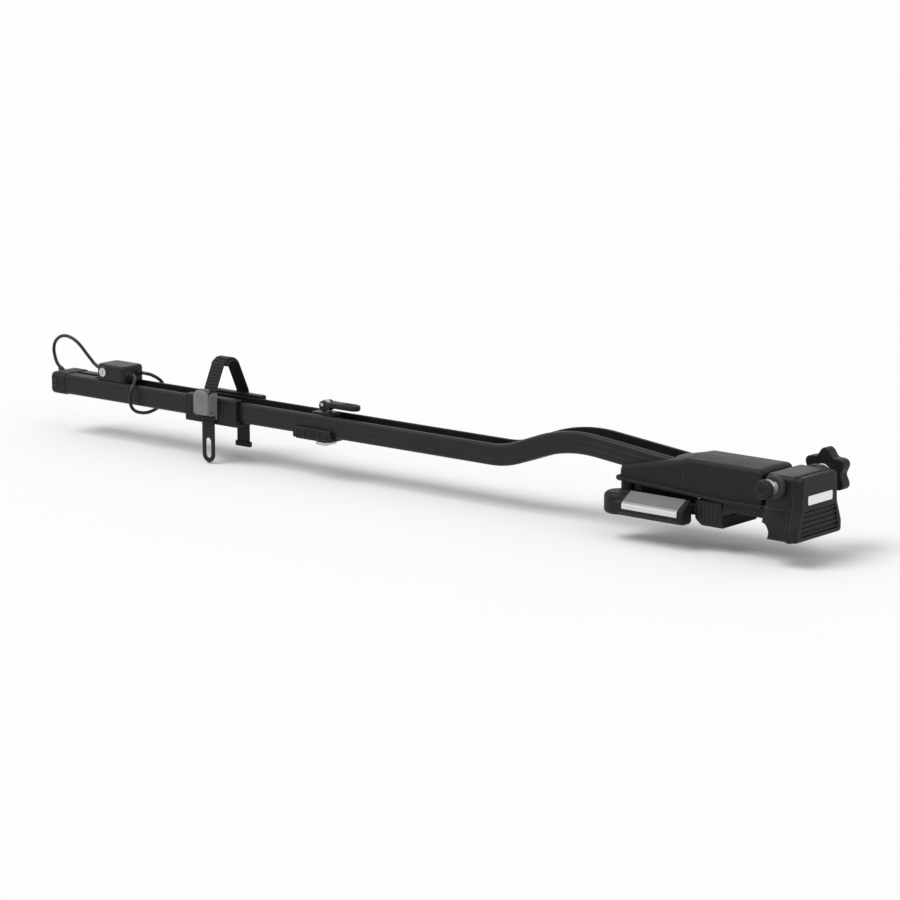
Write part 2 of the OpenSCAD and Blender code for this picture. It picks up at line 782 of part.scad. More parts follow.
module rear_cam_pin() color([0.75, 0.75, 0.77])
    rod_y(cam_pin_r, -cam_lever_w / 2, cam_lever_w / 2, rear_x, cam_pin_z);

module rear_cam_lever() color([0.08, 0.08, 0.085]) difference() {
    union() {
        for (s = [-1, 1]) {
            y = span(s * (eye_w / 2 + gap + fork_t / 2), fork_t / 2);
            rod_y(
                cam_r, y[0], y[1],
                rear_x + cam_offset * sin(cam_lead),
                cam_pin_z - cam_offset * cos(cam_lead)
            );
            block([rear_x, rear_x + 14], y, span(cam_pin_z, grip_t / 2));
        }
        block(
            moved(rear_x, [10, cam_lever_l - cam_lever_w / 2]),
            cam_lever_w / 2 * [-1, 1],
            span(cam_pin_z, grip_t / 2)
        );
        rod_z(
            cam_lever_w / 2, cam_pin_z - grip_t / 2, cam_pin_z + grip_t / 2,
            rear_x + cam_lever_l - cam_lever_w / 2, 0
        );
    }
    rod_y(cam_pin_r + run, -cam_lever_w, cam_lever_w, rear_x, cam_pin_z);
}

// Front base: deck with a rim, cradle under the rail, seat on the bar and fixed claw in front of it
module head_outline() polygon([
    [-head_foot_w / 2, head_foot_z], [head_foot_w / 2, head_foot_z], [head_foot_w / 2, head_foot_z + 16],
    [head_top_w / 2 + 2, head_waist_z], [head_top_w / 2, head_top - 4], [head_top_w / 2 - 4, head_top],
    [-head_top_w / 2 + 4, head_top], [-head_top_w / 2, head_top - 4], [-head_top_w / 2 - 2, head_waist_z],
    [-head_foot_w / 2, head_foot_z + 16]
]);

module screw_places() {
    for (p = screw_sites) translate([p[0], p[1] * screw_y, deck_under(p[0])]) children();
}

module front_base() color([0.09, 0.09, 0.095]) difference() {
    union() {
        along_y(-deck_w / 2, deck_w / 2) polygon([
            [deck_rear_x, deck_under(deck_rear_x)], [deck_rear_x, deck_over(deck_rear_x)],
            [seat_rear_x, seat_top], [seat_rear_x, deck_lift]
        ]);
        along_y(-cradle_w / 2, cradle_w / 2) polygon([
            [housing_rear_x + 5, deck_over(housing_rear_x + 5) - over],
            [housing_rear_x + 5, rail_under(housing_rear_x + 5)],
            [-rail_nose, rail_under(-rail_nose)],
            [-rail_nose, deck_over(-rail_nose) - over]
        ]);
        block([seat_rear_x, head_rear_x + over], seat_w / 2 * [-1, 1], [bar_pad_t, seat_top]);
        block([seat_rear_x - over, housing_front_x + 4], deck_w / 2 * [-1, 1], [deck_lift, seat_top]);
        intersection() {
            along_x(head_rear_x, head_front_x) head_outline();
            block([head_rear_x, head_front_x], head_foot_w * [-1, 1], [head_foot_z, seat_top]);
        }
    }
    rod_y(claw_r, -head_foot_w, head_foot_w, nose_x, nose_z);
    rod_z(lever_pin_r + run / 5, 0, deck_over(deck_rear_x) + over, pin_x, pin_y);
    for (s = [-1, 1]) {
        rod_x(guide_r + run / 5, seat_rear_x - over, seat_rear_x + guide_set, s * guide_y, guide_z);
        rod_z(head_bolt_r + run, head_foot_z - over, seat_top + over, head_bolt_x, s * head_bolt_y);
        rod_z(2 * head_bolt_r, head_foot_z - over, head_foot_z + 10, head_bolt_x, s * head_bolt_y);
    }
    screw_places() {
        rod_z(screw_r + run, -over, deck_t + over, 0, 0);
        rod_z(2 * screw_r, -2 * over, 2, 0, 0);
    }
    rail_bolt_places() rod_z(rail_bolt_r + run / 5, -6, over, 0, 0);
}

module front_bar_pad() color([0.05, 0.05, 0.05])
    linear_extrude(bar_pad_t) round_rect(2 * (nose_x - 1), seat_w - 4, 4);

module front_claw_pad() color([0.05, 0.05, 0.05])
    translate([nose_x, 0, nose_z]) along_y(-seat_w / 2, seat_w / 2)
        ring_sector(bar_nose_r, claw_r, -46, 60);

// Housings over the rail's front end
module housing_shell(outline_points, inner_points) {
    difference() {
        along_y(-housing_w / 2, housing_w / 2) polygon(outline_points);
        along_y(-housing_w / 2 + housing_wall, housing_w / 2 - housing_wall) polygon(inner_points);
    }
}

module boss_places(which) {
    for (i = which) {
        p = screw_sites[i];
        translate([p[0], p[1] * screw_y, deck_over(p[0])]) children();
    }
}

module housing_boss() {
    difference() {
        rod_z(boss_r, deck_rise * boss_r / (seat_rear_x - deck_rear_x), 12, 0, 0);
        rod_z(screw_r, -over, 10, 0, 0);
    }
}

module rail_passage() {
    on_dip() along_x(-60, dip_l + 20) rail_outline(gap);
}

module housing_rear() color([0.07, 0.07, 0.075]) {
    front = seam_x - gap;
    difference() {
        union() {
            housing_shell(
                [
                    [housing_rear_x, deck_over(housing_rear_x)], [housing_rear_x, housing_low],
                    [front, housing_top], [front, deck_over(front)]
                ],
                [
                    [housing_rear_x + housing_wall, 0],
                    [housing_rear_x + housing_wall, housing_low - housing_wall],
                    [front + over, housing_top - housing_wall], [front + over, 0]
                ]
            );
            boss_places([0, 1]) housing_boss();
        }
        rail_passage();
    }
}

module housing_front() color([0.08, 0.08, 0.085]) {
    housing_shell(
        [
            [seam_x, deck_over(seam_x)], [seam_x, housing_top], [housing_front_x - 6, housing_top],
            [housing_front_x, housing_top - 6], [housing_front_x, seat_top], [seat_rear_x, seat_top]
        ],
        [
            [seam_x - over, 0], [seam_x - over, housing_top - housing_wall],
            [housing_front_x - housing_wall - 5, housing_top - housing_wall],
            [housing_front_x - housing_wall, housing_top - housing_wall - 5],
            [housing_front_x - housing_wall, 0]
        ]
    );
    boss_places([2, 3]) housing_boss();
}

module housing_screws() color([0.6, 0.6, 0.62]) screw_places() {
    rod_z(screw_r, 1, deck_t + 8, 0, 0);
    rod_z(2 * screw_r - run, 0.4, 2, 0, 0);
}

// Front clamp: a lever under the deck turns a cam, which pushes the jaw against the bar
module arm_section() polygon([
    [-arm_in, arm_low + 2], [-arm_in, arm_top], [-arm_in - 4, arm_top], [-arm_out + 2, arm_top - 11],
    [-arm_out, arm_top - 14], [-arm_out, arm_low + 7], [-arm_out + 6, arm_low], [-arm_in - 4, arm_low]
]);

module inlay_section() polygon([
    [-arm_in - 3, arm_top], [-arm_in - 4, arm_top + 0.5], [-arm_out + 1.7, arm_top - 10.6],
    [-arm_out - 0.5, arm_top - 14], [-arm_out - 0.5, arm_top - 20], [-arm_out + inlay_t, arm_top - 20],
    [-arm_out + inlay_t, arm_top - 14], [-arm_out + inlay_t + 1.5, arm_top - 11.5 ],
    [-arm_in - 4, arm_top - inlay_t]
]);

module clamp_lever() color([0.07, 0.07, 0.075]) difference() {
    union() {
        intersection() {
            along_x(pin_x - 2 * lever_end_r, arm_tip_x) arm_section();
            union() {
                block([pin_x, arm_tip_x - arm_w / 3], -[arm_out, arm_in], [arm_low, arm_top]);
                block([pin_x, arm_tip_x], -[arm_out - arm_w / 3, arm_in], [arm_low, arm_top]);
                rod_z(arm_w / 3, arm_low, arm_top, arm_tip_x - arm_w / 3, -arm_out + arm_w / 3);
                rod_z(lever_end_r, arm_low, arm_top, pin_x, -arm_out + lever_end_r);
            }
        }
        rod_z(lever_end_r, arm_low, arm_top - 2, pin_x, -arm_out + lever_end_r);
        rod_z(barrel_r, arm_low, barrel_top, pin_x, pin_y);
        rod_z(
            lever_cam_r, push_z[0] - 2, push_z[1] + 2,
            pin_x + lever_cam_offset * cos(lever_cam_lead),
            pin_y - lever_cam_offset * sin(lever_cam_lead)
        );
    }
    along_x(inlay_rear_x, inlay_front_x) inlay_section();
    rod_z(lever_pin_r + run, arm_low - over, barrel_top + over, pin_x, pin_y);
}

module lever_inlay() color([0.82, 0.82, 0.84]) along_x(inlay_rear_x, inlay_front_x) inlay_section();

module lever_pin() color([0.7, 0.7, 0.72]) {
    rod_z(lever_pin_r, arm_low - gap - 1, deck_over(pin_x), pin_x, pin_y);
    rod_z(lever_pin_r + 4, arm_low - gap - 3, arm_low - gap, pin_x, pin_y);
}

module clamp_jaw() color([0.08, 0.08, 0.085]) difference() {
    union() {
        along_y(-seat_w / 2, seat_w / 2) polygon([
            [jaw_rear_x, -claw_drop + 8], [jaw_rear_x, jaw_top], [jaw_front_x, jaw_top],
            [jaw_front_x, nose_z], [-nose_x - claw_r / 2, -claw_drop], [jaw_rear_x + 10, -claw_drop]
        ]);
        block([push_rear_x, jaw_rear_x + over], span(pin_y, push_w / 2), push_z);
    }
    rod_y(claw_r, -seat_w, seat_w, -nose_x, nose_z);
    for (s = [-1, 1]) {
        rod_x(guide_r + run, jaw_rear_x + 1, jaw_front_x + over, s * guide_y, guide_z);
        rod_x(spring_pocket_r, jaw_front_x - spring_pocket, jaw_front_x + over, s * guide_y, guide_z);
    }
}

module clamp_jaw_pad() color([0.05, 0.05, 0.05])
    translate([-nose_x, 0, nose_z]) along_y(-seat_w / 2, seat_w / 2)
        ring_sector(bar_nose_r, claw_r, 150, 226);

module jaw_guide_pins() color([0.75, 0.75, 0.77]) for (s = [-1, 1])
    rod_x(guide_r, seat_rear_x + guide_set - guide_l, seat_rear_x + guide_set, s * guide_y, guide_z);

module jaw_springs() color([0.75, 0.75, 0.77]) for (s = [-1, 1])
    translate([jaw_front_x - spring_pocket, s * guide_y, guide_z])
        coil(spring_r, spring_wire, seat_rear_x - jaw_front_x + spring_pocket, 7);

// Fork head: block on the base with a front cover, and the axle that the fork is clamped on
module head_body() color([0.08, 0.08, 0.085]) difference() {
    intersection() {
        along_x(head_rear_x, head_front_x) head_outline();
        block([head_rear_x, head_front_x], head_foot_w * [-1, 1], [seat_top, head_top]);
    }
    rod_y(sleeve_r + run / 5, -half_fork, half_fork, axle_x, axle_z);
    for (s = [-1, 1]) {
        rod_z(head_bolt_r + run / 5, seat_top - over, seat_top + 18, head_bolt_x, s * head_bolt_y);
        rod_x(screw_r + run / 5, head_front_x - 10, head_front_x + over, s * cover_screw_y, badge_z);
    }
}

module head_bolts() color([0.6, 0.6, 0.62]) for (s = [-1, 1]) {
    rod_z(head_bolt_r, head_foot_z + 5, seat_top + 17, head_bolt_x, s * head_bolt_y);
    rod_z(1.6 * head_bolt_r, head_foot_z + 2, head_foot_z + 10, head_bolt_x, s * head_bolt_y);
}

module head_front_cover() color([0.07, 0.07, 0.075]) difference() {
    along_x(head_front_x, cover_x) head_outline();
    block(
        [head_front_x - over, cover_x - 4],
        (head_top_w / 2 - 6) * [-1, 1],
        [head_foot_z + 6, head_top - 6]
    );
    for (s = [-1, 1]) {
        rod_x(screw_r + run, head_front_x, cover_x + over, s * cover_screw_y, badge_z);
        rod_x(2 * screw_r, cover_x - 2, cover_x + over, s * cover_screw_y, badge_z);
    }
}

module cover_screws() color([0.6, 0.6, 0.62]) for (s = [-1, 1]) {
    rod_x(screw_r, head_front_x - 9, cover_x - 1, s * cover_screw_y, badge_z);
    rod_x(2 * screw_r - run, cover_x - 2, cover_x - 0.2, s * cover_screw_y, badge_z);
}

module badge_plate() color([0.92, 0.92, 0.92])
    translate([0, 0, badge_z]) along_x(cover_x, cover_x + badge_t)
        round_rect(badge_w, badge_h, 2);

module axle_sleeve() color([0.7, 0.7, 0.72]) difference() {
    rod_y(sleeve_r, -half_fork, half_fork, axle_x, axle_z);
    rod_y(axle_r - 0.35, -half_fork - over, half_fork + over, axle_x, axle_z);
}

module dropout_adapter(y0, y1) color([0.25, 0.25, 0.26]) difference() {
    rod_y(adapter_r, y0, y1, axle_x, axle_z);
    rod_y(sleeve_r + run / 5, y0 - over, y1 + over, axle_x, axle_z);
}

module dropout_adapter_near() dropout_adapter(-half_fork, -adapter_in);

module dropout_adapter_far() dropout_adapter(adapter_in, half_fork);

module thru_axle() color([0.72, 0.72, 0.74]) {
    rod_y(axle_r - 0.45, -half_fork, half_fork, axle_x, axle_z);
    for (s = [-1, 1])
        rod_y(axle_r, s * (half_fork + dropout_t / 2) - dropout_t / 2,
            s * (half_fork + dropout_t / 2) + dropout_t / 2, axle_x, axle_z);
    rod_y(thread_r, half_fork + dropout_t, knob_y + hub_l - 2, axle_x, axle_z);
    rod_y(2 * axle_r, -half_fork - dropout_t - 4, -half_fork - dropout_t, axle_x, axle_z);
}

module axle_end_cap() color([0.08, 0.08, 0.085])
    rod_y(2 * axle_r + 1, -half_fork - dropout_t - 14, -half_fork - dropout_t - 4, axle_x, axle_z);

module thrust_cup() color([0.7, 0.7, 0.72]) difference() {
    rod_y(adapter_r - 2, cup_y, cup_y + cup_t, axle_x, axle_z);
    rod_y(thread_r + run, cup_y - over, cup_y + cup_t + over, axle_x, axle_z);
}

module axle_knob() color([0.08, 0.08, 0.085]) difference() {
    union() {
        rod_y(knob_r - lobe_r, knob_y, knob_y + knob_t, axle_x, axle_z);
        for (i = [0:lobes - 1])
            rod_y(
                lobe_r, knob_y, knob_y + knob_t,
                axle_x + (knob_r - lobe_r) * sin(360 * i / lobes),
                axle_z + (knob_r - lobe_r) * cos(360 * i / lobes)
            );
    }
    rod_y(hub_r, knob_y - over, knob_y + hub_l, axle_x, axle_z);
    rod_y(cap_r, knob_y + hub_l, knob_y + knob_t + over, axle_x, axle_z);
}

module knob_hub() color([0.7, 0.6, 0.3]) difference() {
    rod_y(hub_r, knob_y, knob_y + hub_l, axle_x, axle_z);
    rod_y(thread_r + run, knob_y - over, knob_y + hub_l + over, axle_x, axle_z);
}

module clutch_spring() color([0.75, 0.75, 0.77]) difference() {
    rod_y(cap_r - 2, knob_y + hub_l, knob_y + hub_l + 1.5, axle_x, axle_z);
    rod_y(hub_r + 1, knob_y + hub_l - over, knob_y + hub_l + 2, axle_x, axle_z);
}

module knob_cap() color([0.3, 0.3, 0.31])
    rod_y(cap_r - run, knob_y + hub_l + 1.5, knob_y + knob_t + 1, axle_x, axle_z);

rail();
rail_end_cap();
cable_gland();
lock_cable();
lock_noose();
stored_cable();
cable_stop();
lock_box();
lock_core();
wheel_carriage();
carriage_glides();
rim_strap();
rim_pad();
buckle_frame();
buckle_screws();
buckle_pins();
ratchet_lever();
buckle_pawl();
pawl_spring();
rear_saddle();
rear_saddle_pad();
rear_cam_block();
rear_wear_plate();
rear_tee_bolt();
rear_cam_pin();
rear_cam_lever();
front_base();
front_bar_pad();
front_claw_pad();
rail_bolts();
housing_rear();
housing_front();
housing_screws();
clamp_lever();
lever_inlay();
lever_pin();
clamp_jaw();
clamp_jaw_pad();
jaw_guide_pins();
jaw_springs();
head_body();
head_bolts();
head_front_cover();
cover_screws();
badge_plate();
axle_sleeve();
dropout_adapter_near();
dropout_adapter_far();
thru_axle();
axle_end_cap();
thrust_cup();
axle_knob();
knob_hub();
clutch_spring();
knob_cap();
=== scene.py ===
"""Looks of a roof mounted bike carrier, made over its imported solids."""

import json
import math
from collections import namedtuple

import bmesh
import bpy
from bpy.props import FloatProperty, FloatVectorProperty, IntProperty, PointerProperty
from mathutils import Matrix, Vector


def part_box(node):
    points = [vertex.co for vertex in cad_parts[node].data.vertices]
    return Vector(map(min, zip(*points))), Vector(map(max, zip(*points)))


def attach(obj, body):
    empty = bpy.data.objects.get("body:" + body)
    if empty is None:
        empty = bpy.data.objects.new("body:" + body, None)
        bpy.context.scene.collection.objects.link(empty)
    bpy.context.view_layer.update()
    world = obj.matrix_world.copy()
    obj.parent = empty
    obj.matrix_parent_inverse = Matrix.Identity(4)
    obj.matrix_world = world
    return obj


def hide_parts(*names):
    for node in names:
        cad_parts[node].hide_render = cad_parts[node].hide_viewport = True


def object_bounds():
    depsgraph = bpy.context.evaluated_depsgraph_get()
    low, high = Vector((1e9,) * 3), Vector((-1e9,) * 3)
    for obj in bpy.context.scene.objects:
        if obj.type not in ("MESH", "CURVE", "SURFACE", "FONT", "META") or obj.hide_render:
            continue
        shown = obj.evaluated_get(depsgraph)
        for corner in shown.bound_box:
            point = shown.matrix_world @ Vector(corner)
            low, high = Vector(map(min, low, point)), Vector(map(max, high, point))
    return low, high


bl_info = {
    "name": "Roof bike carrier looks",
    "version": (1, 0, 0),
    "blender": (4, 5, 0),
    "location": "View3D > Sidebar > Carrier",
    "description": "Builds the visible pieces and finishes of a roof mounted bike carrier",
    "category": "Object",
}

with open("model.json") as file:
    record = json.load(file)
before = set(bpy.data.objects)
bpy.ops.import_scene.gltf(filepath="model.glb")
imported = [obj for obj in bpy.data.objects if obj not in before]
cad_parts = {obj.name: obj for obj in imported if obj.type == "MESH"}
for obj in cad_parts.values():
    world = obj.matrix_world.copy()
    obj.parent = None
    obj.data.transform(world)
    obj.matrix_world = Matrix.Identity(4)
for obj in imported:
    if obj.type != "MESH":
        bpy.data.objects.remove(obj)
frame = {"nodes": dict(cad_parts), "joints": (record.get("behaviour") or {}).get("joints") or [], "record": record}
CAD_LOW, CAD_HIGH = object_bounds()
SLOT_COLOURS = {entry["slot"]: tuple(entry["base_color"]) for entry in frame["record"]["materials"]}

# Pieces are drawn in millimetres and kept in metres
MM = 0.001

# Faces that meet at more than this angle have a sharp edge between them
SHARP_ANGLE = math.radians(38)


# Settings that a user may change
def length_setting(label, meaning, millimetres):
    return FloatProperty(name=label, description=meaning, default=millimetres * MM, unit="LENGTH")


def angle_setting(label, meaning, degrees):
    turn = math.radians(degrees)
    return FloatProperty(name=label, description=meaning, default=turn, subtype="ANGLE", unit="ROTATION")


def strength_setting(label, meaning, strength):
    return FloatProperty(name=label, description=meaning, default=strength, min=0.0)


def place_setting(label, meaning, place):
    return FloatVectorProperty(name=label, description=meaning, default=place, unit="LENGTH")


def colour_setting(label, meaning, colour):
    return FloatVectorProperty(
        name=label, description=meaning, default=colour, subtype="COLOR", min=0.0, max=1.0
    )


def slot_setting(label, meaning, slot):
    return colour_setting(label, meaning, SLOT_COLOURS[slot])


class RailSizes(bpy.types.PropertyGroup):
    """Section and path of the wheel rail"""

    width: length_setting("Width", "Width of the rail", 50)
    height: length_setting("Height", "Height of the rail", 30)
    corner: length_setting("Corner", "Radius of the rail's outer corners", 6)
    groove_width: length_setting("Groove width", "Width of the wheel groove", 34)
    groove_depth: length_setting("Groove depth", "Depth of the wheel groove", 16)
    groove_corner: length_setting("Groove corner", "Radius at the bottom of the wheel groove", 5)
    groove_lip: length_setting("Groove lip", "Radius at the top of the wheel groove", 1.5)
    line_depth: length_setting("Line depth", "Depth of the fine lines along each side", 0.5)
    lift: length_setting("Lift", "Height of the rail's underside above the origin", 6)
    bend_start: length_setting("Bend start", "Distance behind the origin where the rail rises", 433)
    valley_radius: length_setting("Lower bend", "Radius of the lower bend", 150)
    ramp_length: length_setting("Ramp", "Length of the straight ramp", 40)
    crest_radius: length_setting("Crest", "Radius of the crest", 200)
    nose: length_setting("Front end", "Distance of the rail's front end behind the origin", 96)
    rise: angle_setting("Rise", "Steepest angle of the rise", 20)
    dip: angle_setting("Dip", "Angle at which the rail runs into the front unit", 6)


class EdgeSizes(bpy.types.PropertyGroup):
    """Rounding and small detail of the pieces"""

    plastic: length_setting("Plastic edge", "Rounding of plain moulded edges", 1.2)
    metal: length_setting("Metal edge", "Rounding of plain metal edges", 0.5)
    end_cap: length_setting("End cap", "Rounding of the rail's end cap", 4)
    collar: length_setting("Collar", "Height of the end cap's collar over the rail", 1.3)
    lock: length_setting("Lock", "Rounding of the lock box", 5)
    cover: length_setting("Cover", "Rounding of the head's front cover", 4.5)
    knob: length_setting("Knob", "Rounding of the star knob", 4.5)
    hood: length_setting("Housing", "Rounding along the housings' roofs", 9)
    crown: length_setting("Crown", "Arch of the housings' roofs", 2.5)
    tooth_pitch: length_setting("Tooth pitch", "Distance between the strap's teeth", 5)
    tooth_height: length_setting("Tooth height", "Height of the strap's teeth", 1.2)
    grille_ribs: IntProperty(name="Grille ribs", description="Ribs in the cover's grille", default=5, min=2)
    knob_lobes: IntProperty(name="Knob lobes", description="Lobes of the star knob", default=6, min=3)


class FinishColours(bpy.types.PropertyGroup):
    """Colours of the finishes"""

    anodised_black: slot_setting("Rail", "Black anodised rail", "anodised_black")
    moulded_black: slot_setting("Mouldings", "Grained black plastic", "moulded_black")
    cast_black: slot_setting("Castings", "Powder coated castings", "cast_black")
    cable_black: slot_setting("Cable", "Covered steel cable", "cable_black")
    dark_grey: slot_setting("Dark fittings", "Dark grey plastic fittings", "dark_grey")
    strap_black: slot_setting("Strap", "Soft toothed strap", "strap_black")
    rubber_black: slot_setting("Pads", "Matt rubber pads", "rubber_black")
    glide_white: slot_setting("Glides", "Slippery white plastic", "glide_white")
    buckle_grey: slot_setting("Buckle", "Grey buckle plastic", "buckle_grey")
    steel: slot_setting("Steel", "Zinc plated steel", "steel")
    brushed_aluminium: slot_setting("Lever inlay", "Brushed aluminium", "brushed_aluminium")
    brass: slot_setting("Brass", "Turned brass", "brass")
    badge_white: slot_setting("Badge", "Plain white badge", "badge_white")


class StageSettings(bpy.types.PropertyGroup):
    """Camera, lamps and floor"""

    camera_place: place_setting("Camera", "Place of the camera", (2.407, -3.497, 0.938))
    camera_target: place_setting("Target", "Point in the middle of the picture", (-0.522, 0.0, 0.012))
    lens: FloatProperty(name="Lens", description="Focal length in millimetres", default=136.0, min=20.0)
    sky: strength_setting("Sky", "Strength of the light from all around", 0.5)
    sun: strength_setting("Sun", "Strength of the soft main lamp", 1.9)
    floor_gap: length_setting("Floor gap", "Distance of the floor below the lowest point", 2)
    floor_colour: colour_setting("Floor", "Colour of the floor", (0.88, 0.88, 0.88))


# Places in the frame, in millimetres
def span_of(node):
    """A solid's extent along x, y and z."""
    low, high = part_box(node)
    return [(low[i] / MM, high[i] / MM) for i in range(3)]


def middle_of(node):
    return [(a + b) / 2 for a, b in span_of(node)]


def pivot_of(joint):
    """The place of a hinge."""
    place = next(entry["pos_m"] for entry in frame["joints"] if entry["name"] == joint)
    return [value / MM for value in place]


# Spans and turns
def around(middle, half):
    """The two ends of a span."""
    return (middle - half, middle + half)


def row(middle, pitch, count):
    """Evenly spaced places on both sides of a middle."""
    return [middle + pitch * (k - (count - 1) / 2) for k in range(count)]


def shares(steps):
    """Even steps from nothing to one."""
    return [k / steps for k in range(steps + 1)]


def quarter_turn(steps):
    """Cosines and sines at even steps from nothing to a right angle."""
    turns = [math.pi / 2 * share for share in shares(steps)]
    return [(math.cos(turn), math.sin(turn)) for turn in turns]


def on_circle(middle, radius, turn):
    return Vector((middle[0] + radius * math.cos(turn), middle[1] + radius * math.sin(turn)))


# Outlines: anticlockwise lists of points in two directions
def rounded(corners, steps=7):
    """An outline with its corners rounded; each corner is two places and a radius."""
    points = []
    for i, (u, v, radius) in enumerate(corners):
        here = Vector((u, v))
        if radius <= 0:
            points.append(here)
            continue
        back = (Vector(corners[i - 1][:2]) - here).normalized()
        ahead = (Vector(corners[(i + 1) % len(corners)][:2]) - here).normalized()
        half = back.angle(ahead) / 2
        middle = here + (back + ahead).normalized() * (radius / math.sin(half))
        start = here + back * (radius / math.tan(half)) - middle
        turn = math.copysign(math.pi - 2 * half, -back.cross(ahead))
        points += [middle + Matrix.Rotation(turn * share, 2) @ start for share in shares(steps)]
    return points


def box_outline(u, v, radius, steps=7):
    corners = [(u[0], v[0]), (u[1], v[0]), (u[1], v[1]), (u[0], v[1])]
    return rounded([(*corner, radius) for corner in corners], steps)


def circle_outline(middle, radius, sides=48):
    return [on_circle(middle, radius, math.tau * k / sides) for k in range(sides)]


def sector_outline(middle, inner, outer, start, end, steps=20):
    """Part of a flat ring between two angles in degrees."""
    turns = [math.radians(start + (end - start) * share) for share in shares(steps)]
    out = [on_circle(middle, outer, turn) for turn in turns]
    return out + [on_circle(middle, inner, turn) for turn in reversed(turns)]


def inset(outline, depth):
    """The outline moved inwards by a depth."""
    moved = []
    for i, here in enumerate(outline):
        before = here - outline[i - 1]
        after = outline[(i + 1) % len(outline)] - here
        normal = Vector((-before.y, before.x)).normalized() + Vector((-after.y, after.x)).normalized()
        moved.append(here + normal * (depth / max(normal.length_squared / 2, 0.3)))
    return moved


def mirrored(corners):
    """A half outline on the +u side and its mirror image, as one list of corners."""
    return corners + [(-u, v, radius) for u, v, radius in reversed(corners)]


# Ways to draw an outline out: its two directions and the distance along the third
def along_x(u, v, a):
    return (a, u, v)


def along_y(u, v, a):
    return (u, a, v)


def along_z(u, v, a):
    return (u, v, a)


class Maker:
    """Collects the closed shapes of one piece, in millimetres."""

    def __init__(self):
        self.bm = bmesh.new()

    def loft(self, rings, closed=False):
        """Skin over rings of equally many points, with flat ends or joined in a loop."""
        rows = [[self.bm.verts.new(Vector(point) * MM) for point in ring] for ring in rings]
        pairs = list(zip(rows, rows[1:]))
        if closed:
            pairs.append((rows[-1], rows[0]))
        count = len(rows[0])
        for low, high in pairs:
            for i in range(count):
                k = (i + 1) % count
                self.bm.faces.new((low[i], low[k], high[k], high[i]))
        if not closed:
            self.bm.faces.new(rows[0][::-1])
            self.bm.faces.new(rows[-1])
        return self

    def skin(self, outline, levels, place):
        """A skin over one outline at several levels, each moved inwards by its own depth."""
        return self.loft([[place(p.x, p.y, a) for p in inset(outline, depth)] for a, depth in levels])

    def prism(self, outline, start, end, place, edges=(0.0, 0.0), steps=3):
        """An outline drawn out from start to end, with rounded rims."""
        low, high = edges
        arc = quarter_turn(steps)
        levels = [(start + low * (1 - c), low * (1 - s)) for c, s in (arc if low > 0 else arc[:1])]
        levels += [(end - high * (1 - c), high * (1 - s)) for c, s in (arc[::-1] if high > 0 else arc[-1:])]
        return self.skin(outline, levels, place)

    def slab(self, x, y, z, corner, edge, place=along_z):
        """A rounded block; place says which way its rounded outline is drawn out."""
        u, v, a = {along_x: (y, z, x), along_y: (x, z, y), along_z: (x, y, z)}[place]
        return self.prism(box_outline(u, v, corner), *a, place, edges=(edge, edge))

    def turned(self, profile, place, at, sides=64, start=0.0, way=1, flutes=(0, 0.0), ring=False):
        """A shape turned round a line; the profile gives distances along it from a start, and radii."""
        rings = []
        for along, radius in profile:
            points = []
            for k in range(sides):
                turn = math.tau * k / sides
                inward = flutes[1] * (0.5 - 0.5 * math.cos(flutes[0] * turn))
                points.append(place(*on_circle(at, radius - inward, turn), start + way * along))
            rings.append(points)
        return self.loft(rings, closed=ring)

    def barrel(self, start, end, place, at, radius, edges, sides):
        """A round pin with its rims cut at a slant."""
        low, high = edges
        profile = [(start, radius - low), (start + low, radius), (end - high, radius), (end, radius - high)]
        return self.turned(profile, place, at, sides)

    def ridge(self, at, span, place, radius, edge):
        """A thin round rib across a piece."""
        return self.prism(circle_outline(at, radius, sides=12), *span, place, edges=(edge, edge))

    def side_ribs(self, places, depth, z, half, corner, edge):
        """Upright ribs on both sides of a piece; depth says from where to where they stand out."""
        for side in (-1, 1):
            span = sorted((side * depth[0], side * depth[1]))
            for place in places:
                self.slab(around(place, half), span, z, corner, edge, along_y)
        return self

    def take(self, mesh):
        """Adds the shapes of a scratch mesh, which is then removed."""
        self.bm.from_mesh(mesh)
        bpy.data.meshes.remove(mesh)
        return self

    def join(self, other):
        """Adds the shapes of another maker."""
        mesh = bpy.data.meshes.new("scratch")
        other.bm.to_mesh(mesh)
        other.bm.free()
        return self.take(mesh)

    def cut(self, *cutters):
        """Cuts the shapes of other makers out of these."""
        piece = self.build("scratch")
        tools = [cutter.build("cutter") for cutter in cutters]
        for tool in tools:
            change = piece.modifiers.new("cut", "BOOLEAN")
            change.operation = "DIFFERENCE"
            change.solver = "EXACT"
            change.object = tool
        graph = bpy.context.evaluated_depsgraph_get()
        left = bpy.data.meshes.new_from_object(piece.evaluated_get(graph))
        if not left.polygons:
            raise RuntimeError("a cut left nothing of its piece")
        for scratch in (piece, *tools):
            mesh = scratch.data
            bpy.data.objects.remove(scratch)
            bpy.data.meshes.remove(mesh)
        self.bm = bmesh.new()
        return self.take(left)

    def build(self, name):
        """A smooth object with all the shapes."""
        bmesh.ops.recalc_face_normals(self.bm, faces=self.bm.faces)
        for face in self.bm.faces:
            face.smooth = True
        mesh = bpy.data.meshes.new(name)
        self.bm.to_mesh(mesh)
        self.bm.free()
        piece = bpy.data.objects.new(name, mesh)
        bpy.context.scene.collection.objects.link(piece)
        return piece

    def settle(self, name, slot, node):
        """Builds the piece, keeps its flat faces flat and puts it in place of a solid."""
        piece = self.build(name)
        piece.data.set_sharp_from_angle(angle=SHARP_ANGLE)
        flat = piece.modifiers.new("flat_faces", "WEIGHTED_NORMAL")
        flat.keep_sharp = True
        flat.weight = 100
        dress(piece, slot, node)


